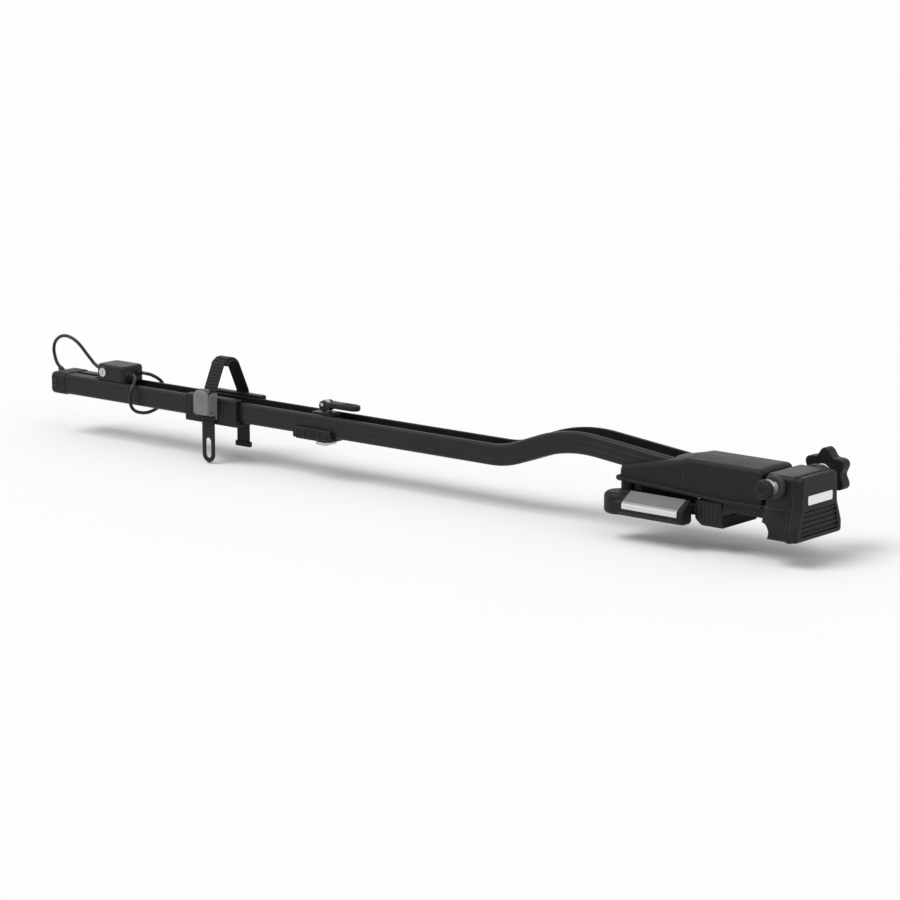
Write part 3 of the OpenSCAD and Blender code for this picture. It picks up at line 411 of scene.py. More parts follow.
def dress(piece, slot, node):
    """Gives a piece its finish and puts it in place of a solid."""
    piece.data.materials.append(finish_of(slot))
    bodies = frame["record"]["behaviour"]["bodies"]
    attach(piece, next(body for body, names in bodies.items() if node in names))
    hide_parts(node)


# Shader maths
class Wire:
    """A shader socket that can be used in sums."""

    def __init__(self, nodes, socket):
        self.nodes = nodes
        self.socket = socket

    def _sum(self, operation, first, second):
        return self.nodes.add("ShaderNodeMath", {"operation": operation}, {0: first, 1: second})

    def __add__(self, other):
        return self._sum("ADD", self, other)

    def __radd__(self, other):
        return self._sum("ADD", other, self)

    def __sub__(self, other):
        return self._sum("SUBTRACT", self, other)

    def __rsub__(self, other):
        return self._sum("SUBTRACT", other, self)

    def __mul__(self, other):
        return self._sum("MULTIPLY", self, other)

    def __rmul__(self, other):
        return self._sum("MULTIPLY", other, self)


class Nodes:
    """The node tree of one finish."""

    def __init__(self, tree):
        self.tree = tree
        tree.nodes.clear()

    def add(self, kind, settings=None, sockets=None, output=0):
        """A node with its settings and the values or links of its sockets; gives one output."""
        node = self.tree.nodes.new(kind)
        for name, value in (settings or {}).items():
            if name == "stops":
                for element, (place, shade) in zip(node.color_ramp.elements, value):
                    element.position = place
                    element.color = (shade, shade, shade, 1.0)
            else:
                setattr(node, name, value)
        for name, value in (sockets or {}).items():
            if isinstance(value, Wire):
                self.tree.links.new(value.socket, node.inputs[name])
            else:
                node.inputs[name].default_value = value
        if node.outputs:
            return Wire(self, node.outputs[output])
        return None

    def noise(self, place, sizes, detail):
        """Noise with features of the given sizes, in millimetres, along x, y and z."""
        scale = tuple(1.0 / (size * MM) for size in sizes)
        stretched = self.add("ShaderNodeVectorMath", {"operation": "MULTIPLY"}, {0: place, 1: scale})
        sockets = {"Vector": stretched, "Scale": 1.0, "Detail": detail, "Roughness": 0.55}
        return self.add("ShaderNodeTexNoise", None, sockets)

    def mix(self, factor, first, second):
        """A blend of two colours."""
        sockets = {"Factor": factor, 6: first, 7: second}
        return self.add("ShaderNodeMix", {"data_type": "RGBA"}, sockets, output=2)

    def ramp(self, value, start, end):
        """Nothing up to a start, one from an end on."""
        return self.add("ShaderNodeValToRGB", {"stops": ((start, 0.0), (end, 1.0))}, {"Fac": value})


def tint(colour, strength=1.0, lift=0.0):
    """A colour for a shader socket, made stronger or lighter."""
    return tuple(min(1.0, strength * c + lift) for c in colour) + (1.0,)


# Finishes, with the grain's sizes along x, y and z and its depth in millimetres
Finish = namedtuple("Finish", "rough metal grain depth spread mottle wear specular coat")
FINISHES = {
    "anodised_black": Finish(0.32, 0.0, (90, 0.6, 0.6), 0.05, 0.2, 0.3, 0.9, 0.18, 0.0),
    "moulded_black": Finish(0.44, 0.0, (0.8, 0.8, 0.8), 0.2, 0.2, 0.35, 1.1, 0.15, 0.0),
    "cast_black": Finish(0.4, 0.0, (1.3, 1.3, 1.3), 0.14, 0.16, 0.25, 1.1, 0.2, 0.0),
    "cable_black": Finish(0.3, 0.0, (2.2, 0.9, 0.9), 0.03, 0.12, 0.2, 0.0, 0.25, 0.1),
    "dark_grey": Finish(0.44, 0.0, (0.7, 0.7, 0.7), 0.15, 0.16, 0.25, 1.0, 0.22, 0.0),
    "strap_black": Finish(0.5, 0.0, (0.5, 1.6, 1.6), 0.12, 0.18, 0.3, 0.9, 0.15, 0.0),
    "rubber_black": Finish(0.74, 0.0, (0.8, 0.8, 0.8), 0.18, 0.14, 0.3, 0.4, 0.14, 0.0),
    "glide_white": Finish(0.35, 0.0, (3.0, 0.8, 0.8), 0.02, 0.1, 0.06, 0.0, 0.5, 0.0),
    "buckle_grey": Finish(0.42, 0.0, (0.7, 0.7, 0.7), 0.1, 0.16, 0.18, 0.6, 0.24, 0.0),
    "steel": Finish(0.32, 1.0, (2.5, 0.5, 2.5), 0.015, 0.2, 0.2, 0.1, 0.5, 0.0),
    "brushed_aluminium": Finish(0.38, 1.0, (60, 0.3, 0.3), 0.012, 0.2, 0.12, 0.1, 0.5, 0.0),
    "brass": Finish(0.3, 1.0, (0.4, 3.0, 3.0), 0.015, 0.18, 0.2, 0.1, 0.5, 0.0),
    "badge_white": Finish(0.32, 0.0, (0.4, 0.4, 0.4), 0.004, 0.04, 0.02, 0.0, 0.5, 0.2),
}

# Sizes of the mottling and of the worn flecks, in millimetres, and the mottling's share in the colour
CLOUD_SIZES = (34, 34, 34)
FLECK_SIZES = (2.4, 2.4, 2.4)
CLOUD_SHARE = 0.6

# Lever inlay: how far painted shade darkens its slope, how far a painted highlight brightens its lower edge, and
# the heights between them
SLOPE_PAINTED_SHADE = 0.46
EDGE_PAINTED_HIGHLIGHT = 1.5
EDGE_FOLD = (-4.2, -2.6)


def paint_edge_highlight(nodes, place, shade, colour):
    """Paints shade over the inlay's slope and a highlight along its lower edge, into its base colour."""
    height = nodes.add("ShaderNodeSeparateXYZ", None, {0: place}, output=2)
    low, high = EDGE_FOLD
    band = nodes.add(
        "ShaderNodeMapRange",
        {"interpolation_type": "SMOOTHSTEP"},
        {"Value": height, "From Min": low * MM, "From Max": high * MM, "To Min": 1.0, "To Max": 0.0},
    )
    return nodes.mix(band, shade, tint(colour, EDGE_PAINTED_HIGHLIGHT))


def outer_edges(nodes):
    """A mask that is one on outer edges and nothing on flat faces and in hollows."""
    softened = nodes.add("ShaderNodeBevel", {"samples": 4}, {"Radius": 1.1 * MM})
    straight = nodes.add("ShaderNodeNewGeometry", output="Normal")
    compare = {"operation": "DOT_PRODUCT"}
    alike = nodes.add("ShaderNodeVectorMath", compare, {0: softened, 1: straight}, output="Value")
    near_only = {"samples": 6, "only_local": True}
    open_air = nodes.add("ShaderNodeAmbientOcclusion", near_only, {"Distance": 2.0 * MM}, output="AO")
    return nodes.ramp(1 - alike, start=0.005, end=0.06) * nodes.ramp(open_air, start=0.75, end=0.97)


def finish_of(slot):
    """The procedural material of a slot, made when it is first asked for."""
    name = "carrier_" + slot
    if name in bpy.data.materials:
        return bpy.data.materials[name]
    finish = FINISHES[slot]
    has_painted_highlight = slot == "brushed_aluminium"
    plain = tuple(getattr(bpy.context.scene.carrier_colours, slot))
    # The inlay's slope gets painted shade: its colour is darkened below the slot's colour
    colour = tuple(SLOPE_PAINTED_SHADE * c for c in plain) if has_painted_highlight else plain
    material = bpy.data.materials.new(name)
    material.use_nodes = True
    nodes = Nodes(material.node_tree)
    place = nodes.add("ShaderNodeTexCoord", output="Object")
    grain = nodes.noise(place, finish.grain, detail=3.0)
    cloud = nodes.noise(place, CLOUD_SIZES, detail=2.0)
    dark = tint(colour, 1 - finish.mottle)
    light = tint(colour, 1 + finish.mottle)
    shade = nodes.mix(cloud * CLOUD_SHARE + grain * (1 - CLOUD_SHARE), dark, light)
    # The inlay's lower edge gets a painted highlight: a brighter base colour below a height
    if has_painted_highlight:
        shade = paint_edge_highlight(nodes, place, shade, plain)
    if finish.wear > 0:
        worn = outer_edges(nodes) * nodes.noise(place, FLECK_SIZES, detail=2.0) * finish.wear
        shade = nodes.mix(worn, shade, tint(colour, strength=0.6, lift=0.08))
    relief = {"Strength": 0.6, "Distance": finish.depth * MM, "Height": grain}
    bump = nodes.add("ShaderNodeBump", None, relief)
    shader = nodes.add(
        "ShaderNodeBsdfPrincipled",
        None,
        {
            "Base Color": shade,
            "Roughness": finish.rough + (grain - 0.5) * finish.spread + (cloud - 0.5) * finish.spread,
            "Metallic": finish.metal,
            "Specular IOR Level": finish.specular,
            "Coat Weight": finish.coat,
            "Coat Roughness": 0.12,
            "Normal": bump,
        },
    )
    nodes.add("ShaderNodeOutputMaterial", None, {"Surface": shader})
    return material


class SetStage(bpy.types.Operator):
    """Sets up the camera, the lamps and the floor"""

    bl_idname = "carrier.set_stage"
    bl_label = "Stage"

    def execute(self, context):
        stage = context.scene.carrier_stage
        context.scene.view_settings.view_transform = "Standard"
        camera = bpy.data.objects.new("camera", bpy.data.cameras.new("camera"))
        context.scene.collection.objects.link(camera)
        camera.location = stage.camera_place
        aim = Vector(stage.camera_target) - Vector(stage.camera_place)
        camera.rotation_euler = aim.to_track_quat("-Z", "Y").to_euler()
        camera.data.lens = stage.lens
        camera.data.sensor_width = 36.0
        camera.data.clip_end = 200.0
        context.scene.camera = camera
        self.light_sky(context, stage)
        self.add_lamps(context, stage)
        self.lay_floor(context, stage)
        return {"FINISHED"}

    def light_sky(self, context, stage):
        """Soft light from all around, seen as plain white."""
        world = bpy.data.worlds.new("studio")
        context.scene.world = world
        world.use_nodes = True
        nodes = Nodes(world.node_tree)
        camera_ray = nodes.add("ShaderNodeLightPath", output="Is Camera Ray")
        glossy_ray = nodes.add("ShaderNodeLightPath", output="Is Glossy Ray")
        clear_ray = nodes.add("ShaderNodeLightPath", output="Is Transmission Ray")
        clamped = {"operation": "ADD", "use_clamp": True}
        shown = nodes.add("ShaderNodeMath", clamped, {0: camera_ray + glossy_ray, 1: clear_ray})
        white = nodes.add("ShaderNodeBackground", None, {"Color": (1, 1, 1, 1), "Strength": 1.0})
        soft = nodes.add("ShaderNodeBackground", None, {"Color": (1, 1, 1, 1), "Strength": stage.sky})
        sky = nodes.add("ShaderNodeMixShader", None, {0: shown, 1: soft, 2: white})
        nodes.add("ShaderNodeOutputWorld", None, {"Surface": sky})

    def add_lamps(self, context, stage):
        """Two wide lamps; spread, pitch and heading are in degrees."""
        for name, strength, spread, pitch, heading in (
            ("main_lamp", stage.sun, 36.0, 34.0, -24.0),
            ("side_lamp", stage.sun * 0.35, 50.0, 58.0, 70.0),
        ):
            lamp = bpy.data.lights.new(name, "SUN")
            lamp.energy = strength
            lamp.angle = math.radians(spread)
            holder = bpy.data.objects.new(name, lamp)
            holder.rotation_euler = (math.radians(pitch), 0.0, math.radians(heading))
            context.scene.collection.objects.link(holder)

    def lay_floor(self, context, stage):
        """A wide pale floor, a little mottled."""
        level = CAD_LOW.z - stage.floor_gap
        reach = 90.0
        mesh = bpy.data.meshes.new("floor")
        corners = [(u * reach, v * reach, level) for u, v in ((-1, -1), (1, -1), (1, 1), (-1, 1))]
        mesh.from_pydata(corners, [], [(0, 1, 2, 3)])
        floor = bpy.data.objects.new("floor", mesh)
        context.scene.collection.objects.link(floor)
        material = bpy.data.materials.new("floor")
        material.use_nodes = True
        nodes = Nodes(material.node_tree)
        place = nodes.add("ShaderNodeTexCoord", output="Object")
        cloud = nodes.noise(place, (700, 700, 700), detail=2.0)
        shade = nodes.mix(cloud, tint(stage.floor_colour, strength=0.99), tint(stage.floor_colour))
        shader = nodes.add("ShaderNodeBsdfPrincipled", None, {"Base Color": shade, "Roughness": 0.9})
        nodes.add("ShaderNodeOutputMaterial", None, {"Surface": shader})
        mesh.materials.append(material)


# Places on the carrier that several pieces share, in millimetres
RAIL_END = span_of("rail")[0][0]
RAIL_TOP = span_of("rail_end_cap")[2][1]
LOCK_FRONT = span_of("lock_box")[0][1]
STRAP_X = middle_of("rim_strap")[0]
AXLE = (middle_of("thru_axle")[0], middle_of("thru_axle")[2])

# Lock cable: its radius, and its route from the rail's rear top edge to the lock
CABLE_RADIUS = 2.5
CABLE_ROUTE = [
    (-20, 0, 4), (-26, 0, 10), (-29, -1, 19), (-29, -3, 30), (-25, -5, 40), (-17, -7, 48), (-8, -8, 53),
    (2, -8, 55), (12, -8, 54), (22, -7, 50), (32, -6, 43), (40, -4, 34), (48, -2, 25), (57, -1, 17),
    (68, 0, 12), (80, 0, 12),
]

# Near half of the noose's route, from the lock's front end at the rail's top
NOOSE_ROUTE = [
    (0, -12, 12), (9, -12, 12), (18, -17, 10), (24, -24, 5), (27, -30, -1), (27, -35, -10),
    (27, -36, -20), (27, -33, -30), (27, -26, -37), (27, -16, -41), (27, -5, -43),
]


def lay_cable(name, route, node):
    """A covered steel cable along a route, from the object and back into it."""
    curve = bpy.data.curves.new(name, "CURVE")
    curve.dimensions = "3D"
    curve.bevel_depth = CABLE_RADIUS * MM
    curve.bevel_resolution = 6
    curve.resolution_u = 10
    curve.use_fill_caps = True
    spline = curve.splines.new("BEZIER")
    spline.bezier_points.add(len(route) - 1)
    for knot, point in zip(spline.bezier_points, route):
        knot.co = Vector(point) * MM
        knot.handle_left_type = "AUTO"
        knot.handle_right_type = "AUTO"
    piece = bpy.data.objects.new(name, curve)
    bpy.context.scene.collection.objects.link(piece)
    dress(piece, "cable_black", node)


class LayCables(bpy.types.Operator):
    """Lays the lock cable and its noose"""

    bl_idname = "carrier.lay_cables"
    bl_label = "Lock cable"

    def execute(self, context):
        arch = [(RAIL_END + x, y, RAIL_TOP + z) for x, y, z in CABLE_ROUTE]
        lay_cable("lock_cable_arch", arch, "lock_cable")
        near = [(LOCK_FRONT + x, y, RAIL_TOP + z) for x, y, z in NOOSE_ROUTE]
        far = [(x, -y, z) for x, y, z in reversed(near)]
        lay_cable("lock_cable_noose", near + far, "lock_noose")
        return {"FINISHED"}


def rail_stations(rail):
    """Places along the rail's underside, as x, z and slope, in millimetres and radians."""
    start = -rail.bend_start / MM
    valley = rail.valley_radius / MM
    crest = rail.crest_radius / MM
    ramp = rail.ramp_length / MM
    lift = rail.lift / MM
    stations = [(RAIL_END + (start - RAIL_END) * share, lift, 0.0) for share in shares(9)]
    for share in shares(10)[1:]:
        turn = rail.rise * share
        stations.append((start + valley * math.sin(turn), lift + valley * (1 - math.cos(turn)), turn))
    x, z, _ = stations[-1]
    middle_x = x + ramp * math.cos(rail.rise) + crest * math.sin(rail.rise)
    middle_z = z + ramp * math.sin(rail.rise) - crest * math.cos(rail.rise)
    for share in shares(14):
        turn = rail.rise - (rail.rise + rail.dip) * share
        stations.append((middle_x - crest * math.sin(turn), middle_z + crest * math.cos(turn), turn))
    x, z, _ = stations[-1]
    reach = -rail.nose / MM - x
    for share in shares(2)[1:]:
        stations.append((x + reach * share, z - reach * share * math.tan(rail.dip), -rail.dip))
    return stations


def rail_point(station, y, h):
    """A point of the rail's section at a station; h is the height over its underside."""
    x, z, slope = station
    return (x - h * math.sin(slope), y, z + h * math.cos(slope))


def rail_outline(rail, grow=0.0):
    """The outside of the rail's section, without its groove."""
    half = rail.width / MM / 2 + grow
    height = (-grow, rail.height / MM + grow)
    return box_outline(around(0, half), height, rail.corner / MM + grow, steps=6)


class MakeRail(bpy.types.Operator):
    """Draws the rail's section along its path"""

    bl_idname = "carrier.make_rail"
    bl_label = "Rail"

    # Heights of the fine lines on the rail's sides, as shares of its height
    line_shares = (0.36, 0.66)

    def execute(self, context):
        rail = context.scene.carrier_rail
        half = rail.width / MM / 2
        top = rail.height / MM
        slot = rail.groove_width / MM / 2
        floor = top - rail.groove_depth / MM
        line = rail.line_depth / MM
        corner = rail.corner / MM
        side = [(half, 0, corner)]
        for share in self.line_shares:
            level = share * top
            side += [(half, level - line, 0), (half - line, level, 0), (half, level + line, 0)]
        side += [(half, top, corner), (slot, top, rail.groove_lip / MM)]
        side.append((slot, floor, rail.groove_corner / MM))
        outline = rounded(mirrored(side), steps=6)
        rings = [[rail_point(station, p.x, p.y) for p in outline] for station in rail_stations(rail)]
        Maker().loft(rings).settle("wheel_rail", "anodised_black", "rail")
        return {"FINISHED"}


class MakeRailEnd(bpy.types.Operator):
    """Makes the end cap with its slot, and the gland that the cable leaves"""

    bl_idname = "carrier.make_rail_end"
    bl_label = "Rail end"

    def execute(self, context):
        rail = context.scene.carrier_rail
        edges = context.scene.carrier_edges
        x, y, z = span_of("rail_end_cap")
        lift = rail.lift / MM
        outline = [Vector((p.x, p.y + lift)) for p in rail_outline(rail)]
        rail_hole = Maker().prism(inset(outline, 0.05), RAIL_END - 0.2, RAIL_END + 40, along_x)
        cap = self.collar(edges, outline, x[0]).cut(rail_hole)
        button = [(-1, 5.2), (0.9, 5.2), (1.3, 4.8), (1.3, 3.6), (0.7, 3.2), (0.7, 1.2)]
        stud = [(3, 4.2), (-0.3, 4.2), (-0.9, 3.6), (-0.9, 2.2), (0.4, 1.6)]
        for side in (-1, 1):
            face = side * (y[1] + edges.collar / MM)
            cap.turned(button, along_y, (RAIL_END - 4, lift + 15), sides=36, start=face, way=side)
            cap.turned(stud, along_x, (15 * side, lift + 13), sides=24, start=x[0])
        cap.join(self.tongue(rail, x[1], z[1]))
        cap.settle("rail_end_plug", "moulded_black", "rail_end_cap")
        self.make_gland()
        return {"FINISHED"}

    def collar(self, edges, outline, rear):
        """The cap's collar over the rail's end, rounded at the rear and with two grooves round it."""
        proud = edges.collar / MM
        bend = edges.end_cap / MM
        front = RAIL_END + 16
        levels = [(rear + bend * (1 - c), bend * (1 - s) - proud) for c, s in quarter_turn(6)]
        groove = ((-1.2, 0.0), (-0.7, 0.7), (0.7, 0.7), (1.2, 0.0))
        for middle in (RAIL_END + 4, RAIL_END + 9):
            levels += [(middle + along, deep - proud) for along, deep in groove]
        levels += [(front - 0.7, -proud), (front - 0.2, 0.25 - proud), (front, 0.8 - proud)]
        return Maker().skin(outline, levels, along_x)

    def tongue(self, rail, front, top):
        """The cap's tongue that fills the rail's groove, with a finger slot in its top."""
        fit = 0.1
        half = rail.groove_width / MM / 2 - fit
        floor = (rail.lift + rail.height - rail.groove_depth) / MM + fit
        outline = rounded(mirrored([(half, floor, 4.8), (half, top, 0.7)]))
        slot = Maker().slab((front - 51, front - 4), (-5, 5), (top - 8, top + 6), corner=4.9, edge=1.0)
        return Maker().prism(outline, RAIL_END - 1.5, front, along_x, edges=(0.0, 0.6)).cut(slot)

    def make_gland(self):
        """The gland leaves the cap's rear top edge at a slant and narrows in ribs towards the cable."""
        slant = math.sqrt(0.5)
        foot_x = RAIL_END - 6
        foot_z = RAIL_TOP - 10

        def on_gland(u, v, a):
            return (foot_x + slant * (v - a), u, foot_z + slant * (v + a))

        profile = [(0, 4.6), (0.5, 5), (12.2, 5), (12.6, 4.6)]
        for k in range(4):
            start = 12.9 + 1.6 * k
            rib = 4.5 - 0.25 * k
            profile += [(start, 4.0 - 0.2 * k), (start + 0.5, rib), (start + 1.3, rib)]
        profile += [(19.4, 3.3), (19.8, 3.0)]
        gland = Maker().turned(profile, on_gland, (0, 0), sides=32)
        gland.settle("cable_strain_relief", "dark_grey", "cable_gland")


class MakeLock(bpy.types.Operator):
    """Makes the lock box that closes the cable's noose"""

    bl_idname = "carrier.make_lock"
    bl_label = "Cable lock"

    def execute(self, context):
        x, y, z = span_of("lock_box")
        seam = z[0] + 0.42 * (z[1] - z[0])
        gap = 0.3
        edge = context.scene.carrier_edges.lock / MM
        outline = box_outline(x, y, radius=8, steps=8)
        lock = Maker().prism(outline, z[0], seam - gap, along_z, edges=(1.0, 0.5))
        lock.prism(inset(outline, 1.0), *around(seam, 1), along_z)
        lock.prism(outline, seam + gap, z[1], along_z, edges=(0.5, edge), steps=5)
        core_x, _, core_z = middle_of("lock_core")
        rim = [(1, 6.7), (-0.6, 6.7), (-1.0, 7.2), (-1.0, 8.6), (-0.5, 9.2), (1, 9.2)]
        lock.turned(rim, along_y, (core_x, core_z), sides=40, start=y[0], ring=True)
        boss = [(-1, 5.0), (1.6, 4.6), (2.4, 3.8), (2.4, 2.7)]
        noose_y = NOOSE_ROUTE[0][1]
        for end, way, place in ((x[0], -1, 0.0), (x[1], 1, noose_y), (x[1], 1, -noose_y)):
            lock.turned(boss, along_x, (place, core_z), sides=28, start=end, way=way)
        lock.settle("cable_lock_box", "cast_black", "lock_box")
        return {"FINISHED"}


class MakeCarriage(bpy.types.Operator):
    """Makes the channel that carries the wheel strap along the rail"""

    bl_idname = "carrier.make_carriage"
    bl_label = "Strap carriage"

    # Inner and outer faces of the slot for the strap's far leg
    strap_slot = (34.9, 38.6)

    def execute(self, context):
        edge = context.scene.carrier_edges.plastic / MM
        x, y, z = span_of("wheel_carriage")
        out = -y[0]
        carriage = Maker().prism(self.channel(out, z), *x, along_x, edges=(edge, edge))
        carriage.prism(self.guide(out, y[1]), 8, 32, along_z, edges=(0.9, 0.9))
        backing = (out - 1, self.strap_slot[0])
        carriage.slab(around(STRAP_X, 12.2), backing, (8.5, 31.5), corner=0.6, edge=0.5)
        for middle in around(STRAP_X, 32):
            ribs = row(middle, pitch=5, count=4)
            carriage.side_ribs(ribs, (out - 0.4, out + 0.7), (9, 31), half=1.1, corner=0.9, edge=0.4)
        carriage.settle("strap_carriage", "moulded_black", "wheel_carriage")
        return {"FINISHED"}

    def channel(self, out, z):
        """The channel's section: a floor under the rail, cheeks beside it and lips over its edges."""
        cheek = out - 6
        lip_y = 19
        lip = z[1] - 3.5
        floor = z[0] + 4
        side = [(out, z[0], 3.0), (out, z[1], 4.0), (lip_y, z[1], 1.3), (lip_y, lip, 1.3)]
        side += [(cheek, lip, 0.8), (cheek, floor, 0.8)]
        return rounded(mirrored(side))

    def guide(self, out, far):
        """The outline of the guide that holds the strap's far leg."""
        outside = 14.5
        inside = 12.3
        foot = out - 1
        slot = self.strap_slot[1]
        side = [(inside, slot, 0.6), (inside, foot, 0), (outside, foot, 0), (outside, far, 2.4)]
        return [Vector((STRAP_X + p.x, p.y)) for p in rounded(mirrored(side))]


# Strap: two legs beside the rail, each with a bend from which it leans in to the arch on top
STRAP_HALF_WIDTH = 12.0
STRAP_HALF_THICK = 1.5
STRAP_LEG = 36.5
STRAP_BEND = 25.0
STRAP_BEND_Z = RAIL_TOP - 2
STRAP_LEAN = math.radians(25)
STRAP_ARCH = 18.0
STRAP_IN = STRAP_LEG - STRAP_BEND * (1 - math.cos(STRAP_LEAN)) - STRAP_ARCH * math.cos(STRAP_LEAN)
STRAP_SLANT = STRAP_IN / math.sin(STRAP_LEAN)
STRAP_RISE = (STRAP_BEND - STRAP_ARCH) * math.sin(STRAP_LEAN) + STRAP_SLANT * math.cos(STRAP_LEAN)
STRAP_ARCH_Z = STRAP_BEND_Z + STRAP_RISE

# Lowest points of the near tail and of the far leg, and steps round the tail's end
STRAP_TAIL = span_of("rim_strap")[2][0]
STRAP_END = -43.0
TAIL_STEPS = 8


def strap_line():
    """The strap's middle line from the tail's tip to the far end, as y, z and heading."""
    half = []
    for share in shares(6):
        turn = STRAP_LEAN * share
        y = STRAP_LEG - STRAP_BEND * (1 - math.cos(turn))
        half.append((y, STRAP_BEND_Z + STRAP_BEND * math.sin(turn), turn))
    y, z, _ = half[-1]
    for share in shares(6)[1:-1]:
        along = STRAP_SLANT * share
        half.append((y - along * math.sin(STRAP_LEAN), z + along * math.cos(STRAP_LEAN), STRAP_LEAN))
    for share in shares(12):
        turn = STRAP_LEAN + (math.pi / 2 - STRAP_LEAN) * share
        half.append((STRAP_ARCH * math.cos(turn), STRAP_ARCH_Z + STRAP_ARCH * math.sin(turn), turn))
    tail = [STRAP_TAIL + STRAP_HALF_WIDTH * (1 - c) for c, _ in quarter_turn(TAIL_STEPS)]
    tail += [STRAP_TAIL + rise for rise in (30, 50, 70)]
    near = [(-STRAP_LEG, level, 0.0) for level in tail] + [(-y, z, -turn) for y, z, turn in half]
    far = [(y, z, math.pi + turn) for y, z, turn in reversed(half[:-1])]
    far += [(STRAP_LEG, level, math.pi) for level in (10.0, -20.0, STRAP_END)]
    return near + far


class MakeStrap(bpy.types.Operator):
    """Makes the toothed strap with its finger loop, and the pad under it"""

    bl_idname = "carrier.make_strap"
    bl_label = "Wheel strap"

    def execute(self, context):
        line = strap_line()
        strap = self.band(line)
        self.add_teeth(strap, line, context.scene.carrier_edges)
        end = (STRAP_END, STRAP_END + 8)
        strap.slab(around(STRAP_X, 14), around(STRAP_LEG, 3.5), end, corner=2.0, edge=1.2, place=along_x)
        strap.settle("wheel_strap_band", "strap_black", "rim_strap")
        self.make_pad()
        return {"FINISHED"}

    def band(self, line):
        """The flat band along its line, with a round tail end and a finger loop."""
        rings = []
        for i, (y, z, heading) in enumerate(line):
            half = STRAP_HALF_WIDTH
            drop = STRAP_TAIL + half - z
            if i <= TAIL_STEPS and drop > 0:
                half = max(math.sqrt(max(half * half - drop * drop, 0.0)), 1.6)
            outward = Vector((0, -math.cos(heading), -math.sin(heading)))
            outline = box_outline(around(0, half), around(0, STRAP_HALF_THICK), radius=1.2, steps=3)
            rings.append([Vector((STRAP_X + p.x, y, z)) + outward * p.y for p in outline])
        width = around(STRAP_X, 6)
        through = around(-STRAP_LEG, 8.5)
        height = (STRAP_TAIL + 6, STRAP_TAIL + 36)
        loop = Maker().slab(width, through, height, corner=5.9, edge=0.5, place=along_y)
        return Maker().loft(rings).cut(loop)

    def add_teeth(self, strap, line, edges):
        """A row of teeth on the outside, from above the loop up to the top of the near side."""
        start = STRAP_TAIL + 39
        steepest = 1.2
        root = 1.3
        crest = STRAP_HALF_THICK + edges.tooth_height / MM
        tooth = [(0, root), (0.4, crest), (1.5, crest), (2.6, root)]
        travelled = 0.0
        due = None
        for (y0, z0, turn0), (y1, z1, turn1) in zip(line, line[1:]):
            if turn1 < -steepest:
                break
            step = math.hypot(y1 - y0, z1 - z0)
            if due is None and z1 >= start:
                due = travelled + max(start - z0, 0.0)
            while due is not None and due < travelled + step:
                share = (due - travelled) / step
                at = Vector((y0 + (y1 - y0) * share, z0 + (z1 - z0) * share))
                turn = turn0 + (turn1 - turn0) * share
                ahead = Vector((-math.sin(turn), math.cos(turn)))
                out = Vector((-math.cos(turn), -math.sin(turn)))
                outline = [at + ahead * a + out * b for a, b in tooth]
                strap.prism(outline, *around(STRAP_X, 10.5), along_x)
                due += edges.tooth_pitch / MM
            travelled += step

    def make_pad(self):
        """The rubber pad under the strap's arch, with thin ridges on its inside."""
        x = span_of("rim_pad")[0]
        arch = (0, STRAP_ARCH_Z)
        outline = sector_outline(arch, inner=13.4, outer=16.4, start=35, end=145, steps=26)
        pad = Maker().prism(outline, *x, along_x, edges=(0.9, 0.9))
        for degrees in row(90, pitch=12.25, count=9):
            at = on_circle(arch, 13.3, math.radians(degrees))
            pad.ridge(at, (x[0] + 2, x[1] - 2), along_x, radius=0.8, edge=0.3)
        pad.settle("rim_rubber", "rubber_black", "rim_pad")


